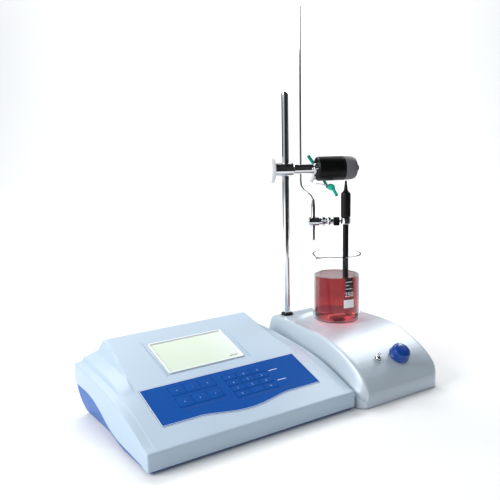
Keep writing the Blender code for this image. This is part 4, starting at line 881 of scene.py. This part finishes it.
VALVE_BLACK = moulded("valve_black", (0.003, 0.003, 0.003), 0.34, size=1400.0, mottle=0.1, depth=0.05,
                      Specular_IOR_Level=0.2)
CAP_GREY = moulded("cap_grey", (0.12, 0.12, 0.124), 0.5, size=900.0, mottle=0.08)
coil = turned("valve_coil_housing", [(0, 87.7), (17.2, 87.7), (18.0, 86.9), (18.0, 85.0), (17.7, 84.6), (18.0, 84.2),
                                     (18.0, 48.6), (16.2, 46.3), (0, 46.3)], on_arm(0), ARM_OUT, VALVE_BLACK,
              corner=0.4, sides=120)
bored(coil, on_arm(48.0, 12.6, 2.0), ARM_OUT, 2.8, 8.0)
stand_in(coil, "arm", "valve_body")
stand_in(turned("valve_cap", [(3.0, 107.0), (11.6, 107.0), (15.2, 105.0), (16.9, 100.5), (17.5, 94.0), (17.5, 88.0),
                              (3.0, 88.0)], on_arm(0), ARM_OUT, CAP_GREY, corner=1.0, sides=120, closed=True),
         "arm", "valve_end_cap")
stand_in(turned("valve_adjusting_screw", [(0, 111.4), (3.4, 111.4), (4.4, 110.6), (4.4, 107.4), (2.6, 107.4),
                                          (2.6, 93.0), (0, 93.0)], on_arm(0), ARM_OUT, BLACK_PLASTIC, corner=0.4,
                sides=96, flutes=(16, 0.3, 107.6, 110.4)), "valve_adjuster", "valve_screw")
stand_in(turned("valve_plunger_pin", [(0, 53.0), (2.4, 53.0), (2.4, 42.0), (4.0, 41.8), (4.0, 39.6), (2.2, 38.8),
                                      (0, 38.8)], on_arm(0, 12.6, 2.0), ARM_OUT, CHROME, corner=0.3, sides=64),
         "plunger", "valve_plunger")


# ---- Drip tube and stopcock ---------------------------------------------------------------------
# A white spout, a short glass tube, and a teal stopcock on a flexible strap that is hooked behind the
# valve, with a lever that opens it.

SPOUT_LEAN = math.radians(30.0)
spout_out = np.array([0, 0, 1.0]) * math.cos(SPOUT_LEAN) + ARM_OUT * math.sin(SPOUT_LEAN)
stand_in(turned("drip_spout", [(1.6, 5.4), (3.1, 5.4), (3.5, 4.8), (3.5, 0.4), (3.0, 0.0), (3.0, -4.6), (2.6, -5.4),
                               (0, -5.4), (0, -3.4), (1.6, -3.4)], on_arm(40.6, 0.0, -14.6), spout_out, KNOB_WHITE,
                closed=True, sides=64), "arm", "spout")


def piped(name, route, radius, side, material, steps=60, sides=32, flat=1.0):
    """Round bar along a smooth curve through the route's points, each carried in the plane of the side vector:
    centre + radius (side cos a + normal sin a flat), with both ends rounded over a quarter circle."""
    route = np.array(route, float)
    knots = np.concatenate([[0.0], np.cumsum(np.linalg.norm(np.diff(route, axis=0), axis=1))])
    t = np.linspace(0.0, knots[-1], steps)
    path = np.stack([np.interp(t, knots, route[:, n]) for n in range(3)], axis=1)
    kernel = np.hanning(9) / np.hanning(9).sum()
    padded = np.vstack([path[:1] * 2 - path[4:0:-1], path, path[-1:] * 2 - path[-2:-6:-1]])
    path = np.stack([np.convolve(padded[:, n], kernel, "valid") for n in range(3)], axis=1)
    run = np.gradient(path, axis=0)
    run /= np.linalg.norm(run, axis=1, keepdims=True)
    side = np.array(side, float) - run * (run @ np.array(side, float))[:, None]
    side /= np.linalg.norm(side, axis=1, keepdims=True)
    normal = np.cross(run, side)
    ends = np.radians(np.linspace(0.0, 90.0, 6))
    size = np.concatenate([np.sin(ends), np.ones(steps - 2), np.cos(ends)])
    slide = np.concatenate([1 - np.cos(ends), np.ones(steps - 2) * 0, np.sin(ends) - 1]) * radius
    pick = np.concatenate([np.zeros(6, int), np.arange(1, steps - 1), np.full(6, steps - 1)])
    centre = path[pick] + run[pick] * slide[:, None]
    a = np.linspace(0.0, math.tau, sides, endpoint=False)[None, :, None]
    ring = side[pick][:, None] * np.cos(a) + normal[pick][:, None] * np.sin(a) * flat
    return skin(name, centre[:, None] + ring * (radius * size)[:, None, None], wrap=True, material=material)


CLEAR_GLASS = principled("clear_glass", (0.90, 0.93, 0.95), 0.01, Transmission_Weight=1.0, IOR=1.46)
TEAL = moulded("teal_plastic", (0.01, 0.50, 0.36), 0.25, size=800.0, mottle=0.12, depth=0.03, Coat_Weight=0.4)
stand_in(piped("glass_drip_tube", [on_arm(44.8, 0, -22.2), on_arm(47.5, 0, -23.2), on_arm(55.0, 0, -23.7),
                                   on_arm(62.9, 0, -25.2)], 1.7 * MM, ARM_NEAR, CLEAR_GLASS), "arm", "glass_tube")
TAP = on_arm(69.0, 0.0, -27.6)
tap = turned("stopcock_barrel", [(1.9, 4.6), (4.4, 4.6), (5.0, 4.0), (5.0, 1.2), (4.5, 0.8), (4.5, -0.8), (5.0, -1.2),
                                 (5.0, -4.0), (4.4, -4.6), (1.9, -4.6)], TAP, ARM_NEAR, TEAL, closed=True)
stand_in(tap, "arm", "stopcock_body")
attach(piped("stopcock_strap", [on_arm(38.5, -16.0, 19.5), on_arm(41.0, -18.5, 15.5), on_arm(45, -20, 11),
                                 on_arm(55, -22, -4), on_arm(62, -18, -17), on_arm(65, -10, -25),
                                 on_arm(65.4, -4.4, -29.6)], 2.6 * MM, ARM_OUT, TEAL, steps=90, flat=0.42), "arm")
key = turned("stopcock_plug", [(0, 8.4), (3.2, 8.4), (3.6, 7.8), (3.6, 5.2), (1.6, 5.0), (1.6, -4.0), (0, -4.0)], TAP,
             ARM_NEAR, TEAL, sides=64)
stand_in(key, "stopcock", "stopcock_key")
LEVER_LEAN = math.radians(29.0)
lever_down = np.array([0, 0, -1.0]) * math.cos(LEVER_LEAN) + ARM_OUT * math.sin(LEVER_LEAN)
lever_route = [TAP + (ARM_NEAR * 7.4 + lever_down * v) * MM for v in (0.0, 7.0, 15.0)]
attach(piped("stopcock_lever", lever_route, 2.5 * MM, np.cross(lever_down, ARM_NEAR), TEAL, steps=24, flat=0.6),
        "stopcock")


# ---- Bent rod -----------------------------------------------------------------------------------
# A thin plated rod held upright in the arm. Below the arm it steps sideways and forward in a gentle
# S and ends in a thicker tube, on which the electrode holder slides.

LOWER_ROD = bench(353.5, 160.4, 0.0)
UPPER_ROD = on_arm(BENT_ALONG) * [1, 1, 0]
ROD_TIP, BEND_TOP, BEND_FOOT = 526.9, 279.5, 247.0
bend = np.linspace(0.0, 1.0, 25)[:, None]
share = 0.5 + 0.5 * np.tanh(5.0 * (bend - 0.5)) / math.tanh(2.5)
s_bend = UPPER_ROD * (1 - share) + LOWER_ROD * share
s_bend = s_bend + (BEND_TOP + (BEND_FOOT - BEND_TOP) * bend) * [0, 0, MM]
route = np.vstack([UPPER_ROD + [0, 0, ROD_TIP * MM], UPPER_ROD + [0, 0, 400 * MM], s_bend,
                   LOWER_ROD + [0, 0, 230 * MM]])
bend_plane = np.cross(LOWER_ROD - UPPER_ROD, [0, 0, 1.0])
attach(piped("bent_rod_wire", route, 1.5 * MM, bend_plane, CHROME, steps=240, sides=40), "bent_rod")
stand_in(turned("bent_rod_sleeve", [(1.6, 254.0), (1.9, 253.4), (2.2, 250.0), (3.0, 243.0), (3.0, 193.4), (2.2, 192.5),
                                    (0, 192.5), (0, 244.0), (1.6, 246.0)], LOWER_ROD, material=CHROME, closed=True,
                sides=72), "bent_rod", "rod_sleeve")


# ---- Electrode holder ---------------------------------------------------------------------------
# A turned and knurled cross clamp on the sleeve, a black lock nut, and a chromed shank whose ring
# carries the electrode.

ELECTRODE_FOOT = middle("electrode_body") * [1, 1, 0]
CLAMP_HEIGHT = 220.6
holder_out = ELECTRODE_FOOT - LOWER_ROD
HOLDER_LONG = np.linalg.norm(holder_out) / MM
holder_out = holder_out / np.linalg.norm(holder_out)
CLAMP_PLACE = LOWER_ROD + [0, 0, CLAMP_HEIGHT * MM]
barrel = turned("cross_clamp_barrel", [(0, 29.0), (3.6, 29.0), (3.6, 26.0), (6.0, 25.4), (6.0, 22.0), (4.4, 21.4),
                                       (4.4, 18.0), (6.2, 17.4), (6.2, 13.0), (5.0, 12.4), (5.0, 9.6), (6.6, 9.0),
                                       (6.6, -6.0), (5.6, -7.0), (0, -7.0)], CLAMP_PLACE, holder_out, CHROME,
                corner=0.35, sides=120, flutes=(30, 0.35, 12.8, 25.6))
bored(barrel, CLAMP_PLACE, (0, 0, 1), 3.3, 12.0)
bored(barrel, CLAMP_PLACE + holder_out * 34 * MM, holder_out, 2.1, 26.0)
stand_in(barrel, "holder", "cross_clamp")
stand_in(turned("holder_lock_nut", [(2.1, 38.4), (5.4, 38.4), (6.4, 37.4), (6.4, 30.4), (5.4, 29.4), (2.1, 29.4)],
                CLAMP_PLACE, holder_out, BLACK_PLASTIC, corner=0.3, sides=120, closed=True,
                flutes=(24, 0.5, 30.2, 37.6)), "holder_nut", "clamp_nut")
stand_in(turned("electrode_ring_band", [(4.7, 5.0), (6.4, 5.0), (6.9, 4.4), (6.9, -3.4), (6.4, -4.0), (4.7, -4.0)],
                ELECTRODE_FOOT + [0, 0, CLAMP_HEIGHT * MM], material=CHROME, closed=True), "holder", "electrode_ring")
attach(turned("electrode_ring_shank", [(0, HOLDER_LONG - 5.2), (1.8, HOLDER_LONG - 5.2), (1.8, 10.0), (0, 10.0)],
               CLAMP_PLACE, holder_out, CHROME, sides=48), "holder")


# ---- Electrode ----------------------------------------------------------------------------------
# A combination electrode: a black cap with a tapered rubber boot, and a black body that ends in a
# guard round a small clear glass bulb.

stand_in(turned("electrode_cap_boot", [(0, 280.2), (1.3, 280.0), (1.7, 277.0), (1.9, 274.0), (2.3, 273.4), (2.2, 271.0),
                                       (2.6, 270.4), (2.5, 268.0), (2.9, 267.4), (3.2, 265.4), (6.2, 262.4),
                                       (7.1, 260.0), (7.1, 227.8), (6.4, 226.2), (4.35, 226.0), (4.35, 212.4),
                                       (2.6, 212.4), (2.6, 220.0), (0, 220.0)], ELECTRODE_FOOT,
                material=BLACK_PLASTIC, corner=0.4, sides=80), "electrode", "electrode_cap")
stand_in(turned("electrode_shaft", [(0, 219.6), (2.3, 219.6), (2.3, 212.1), (4.2, 212.1), (4.2, 112.4), (3.7, 111.2),
                                    (3.2, 111.2), (3.2, 116.0), (0, 116.0)], ELECTRODE_FOOT, material=BLACK_PLASTIC,
                corner=0.3, sides=80), "electrode", "electrode_body")
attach(turned("electrode_bulb", [(0, 115.8), (1.4, 115.8), (1.6, 112.5), (2.9, 110.6), (3.3, 108.4), (2.6, 106.3),
                                  (1.2, 105.4), (0, 105.2)], ELECTRODE_FOOT, material=CLEAR_GLASS, corner=1.0,
               sides=64), "electrode")


# ---- Beaker and sample --------------------------------------------------------------------------
# A low borosilicate beaker with a rolled rim and a spout, white printed measuring marks and a writing
# field, a red sample, and a white coated stir bar on its floor.

BEAKER_FOOT = middle("stir_bar") * [1, 1, 0]
BEAKER_FLOOR = 75.2
RIM = BEAKER_FLOOR + 99.6
GLASS_R = 35.1
SPOUT_TURN = math.radians(186.0)


def light_through(made, tint):
    """Lets lamps shine through the material, tinted, where a plain one would cast a solid shadow."""
    tree = made.node_tree
    shadow = fitted(tree, "LightPath").outputs["Is Shadow Ray"]
    clear = fitted(tree, "BsdfTransparent", Color=(*tint, 1.0)).outputs["BSDF"]
    plain = tree.nodes["Principled BSDF"].outputs["BSDF"]
    mix = fitted(tree, "MixShader", {"Fac": shadow, 1: plain, 2: clear})
    tree.links.new(mix.outputs["Shader"], tree.nodes["Material Output"].inputs["Surface"])
    return made


BEAKER_GLASS = light_through(principled("beaker_glass", (0.93, 0.955, 0.965), 0.0, Transmission_Weight=1.0, IOR=1.47,
                                        Specular_Tint=(0.35, 0.35, 0.35, 1.0)), (0.90, 0.92, 0.92))


def beaker_glass():
    """Turned wall with a spout: near the rim the radius grows and the height dips round the spout's direction
    by a bell curve exp(-(a / 0.26)^2), more so the nearer to the rim."""
    profile = rounded([(0, BEAKER_FLOOR + 2.0), (28.0, BEAKER_FLOOR + 2.0), (32.2, BEAKER_FLOOR + 3.6),
                       (33.3, BEAKER_FLOOR + 8.0), (33.3, RIM - 5.0), (33.6, RIM - 1.4), (34.6, RIM - 0.1),
                       (35.5, RIM - 0.5), (35.7, RIM - 1.6), (GLASS_R, RIM - 5.0), (GLASS_R, BEAKER_FLOOR + 7.0),
                       (33.3, BEAKER_FLOOR + 1.8), (29.0, BEAKER_FLOOR), (0, BEAKER_FLOOR)], 1.6, steps=6)
    a = np.linspace(0.0, math.tau, 144, endpoint=False)[None, :]
    off = (a - SPOUT_TURN + math.pi) % math.tau - math.pi
    bell = np.exp(-(off / 0.26) ** 2)
    near = np.clip((profile[:, 1:] - (RIM - 13.0)) / 13.0, 0.0, 1.0) ** 2
    r = profile[:, :1] + 5.5 * bell * near
    z = profile[:, 1:] - 1.2 * bell * near + 1.0 * np.exp(-((np.abs(off) - 0.5) / 0.16) ** 2) * near * 0.6
    grid = np.stack([r * np.cos(a), r * np.sin(a), z * np.ones_like(a)], axis=-1)
    return skin("beaker_glass", BEAKER_FOOT + grid * MM, wrap=True, material=BEAKER_GLASS)


stand_in(beaker_glass(), "beaker", "beaker")
LIQUID_TOP = 142.5


def red_sample():
    """Clear liquid, deep red in its upper two thirds and paler near the floor by a ramp along its height; the paler
    lower part is painted light.
    """
    made = light_through(principled("sample_red", (0.60, 0.12, 0.13), 0.0, Transmission_Weight=1.0, IOR=1.33,
                                    Specular_Tint=(0.3, 0.3, 0.3, 1.0)), (0.80, 0.42, 0.43))
    tree = made.node_tree
    height = fitted(tree, "SeparateXYZ", {"Vector": fitted(tree, "TexCoord").outputs["Object"]}).outputs["Z"]
    share = fitted(tree, "MapRange", {"Value": height}, From_Min=BEAKER_FLOOR * MM, From_Max=LIQUID_TOP * MM)
    ramp = fitted(tree, "ValToRGB", {"Fac": share.outputs["Result"]})
    # Painted light: the paler low stop stands in for light on the lower liquid, whose own red is even.
    low, high = ramp.color_ramp.elements
    low.position, low.color = 0.28, (0.52, 0.06, 0.065, 1.0)
    high.position, high.color = 0.42, (0.27, 0.015, 0.018, 1.0)
    tree.links.new(ramp.outputs["Color"], tree.nodes["Principled BSDF"].inputs["Base Color"])
    return made


sample = turned("red_sample", [(0, LIQUID_TOP), (30.5, LIQUID_TOP), (33.2, LIQUID_TOP + 1.2),
                               (33.2, BEAKER_FLOOR + 8.2), (32.1, BEAKER_FLOOR + 3.8), (28.0, BEAKER_FLOOR + 2.1),
                               (0, BEAKER_FLOOR + 2.1)], BEAKER_FOOT, material=red_sample(), corner=1.5, sides=144)
stand_in(sample, "beaker", "sample_liquid")
BAR_WHITE = moulded("bar_white", (0.85, 0.85, 0.85), 0.4, size=900.0)
stand_in(turned("coated_stir_bar", [(0, 12.5), (2.0, 12.0), (3.5, 9.6), (3.5, 1.2), (3.9, 0.8), (3.9, -0.8),
                                    (3.5, -1.2), (3.5, -9.6), (2.0, -12.0), (0, -12.5)], middle("stir_bar"),
                (1, 0, 0), BAR_WHITE, corner=0.8, sides=48), "stir_bar", "stir_bar")

MARK_WHITE = principled("glass_enamel", (0.88, 0.88, 0.88), 0.5)
MARK_TURN = math.radians(-96.0)


def wrapped(piece):
    """A flat piece drawn at the origin in millimetres (x sideways, y up), wrapped on the beaker: x becomes the
    angle x / radius from the marks' middle, y the height."""
    flat = np.zeros(len(piece.data.vertices) * 3)
    piece.data.vertices.foreach_get("co", flat)
    x, y, out = flat.reshape(-1, 3).T / MM
    a = MARK_TURN + x / GLASS_R
    r = GLASS_R + out
    place = BEAKER_FOOT + np.stack([r * np.cos(a), r * np.sin(a), y], axis=1) * MM
    piece.data.vertices.foreach_set("co", place.ravel())
    piece.data.update()
    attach(piece, "beaker")


FLAT = np.eye(3)
NOWHERE = np.zeros(3)
LEVELS = {"beaker_mark_0": (127.5, 2.5, 9, 0.8, MARK_WHITE), "beaker_mark_1": (132.5, -2.5, 9, 0.8, MARK_WHITE),
          "beaker_mark_2": (137.5, 2.5, 9, 0.8, MARK_WHITE), "beaker_field": (105.4, 6.0, 25, 12.0, MARK_WHITE),
          "beaker_bar": (112.8, 6.0, 25, 1.5, PRINT_DARK)}
for name, (level, right, count, wide, paint) in LEVELS.items():
    left = -11.0 if count == 25 else -8.5
    line = np.stack([np.linspace(left, right, count), np.full(count, level)], axis=1)
    wrapped(ribbon(name, line, wide, NOWHERE, FLAT, paint, 0.04 if paint is PRINT_DARK else 0.03))
wrapped(legend("beaker_number", "250", 9.5, np.array([-2.5, 119.0, 0.0]) * MM, FLAT, MARK_WHITE, 0.05))
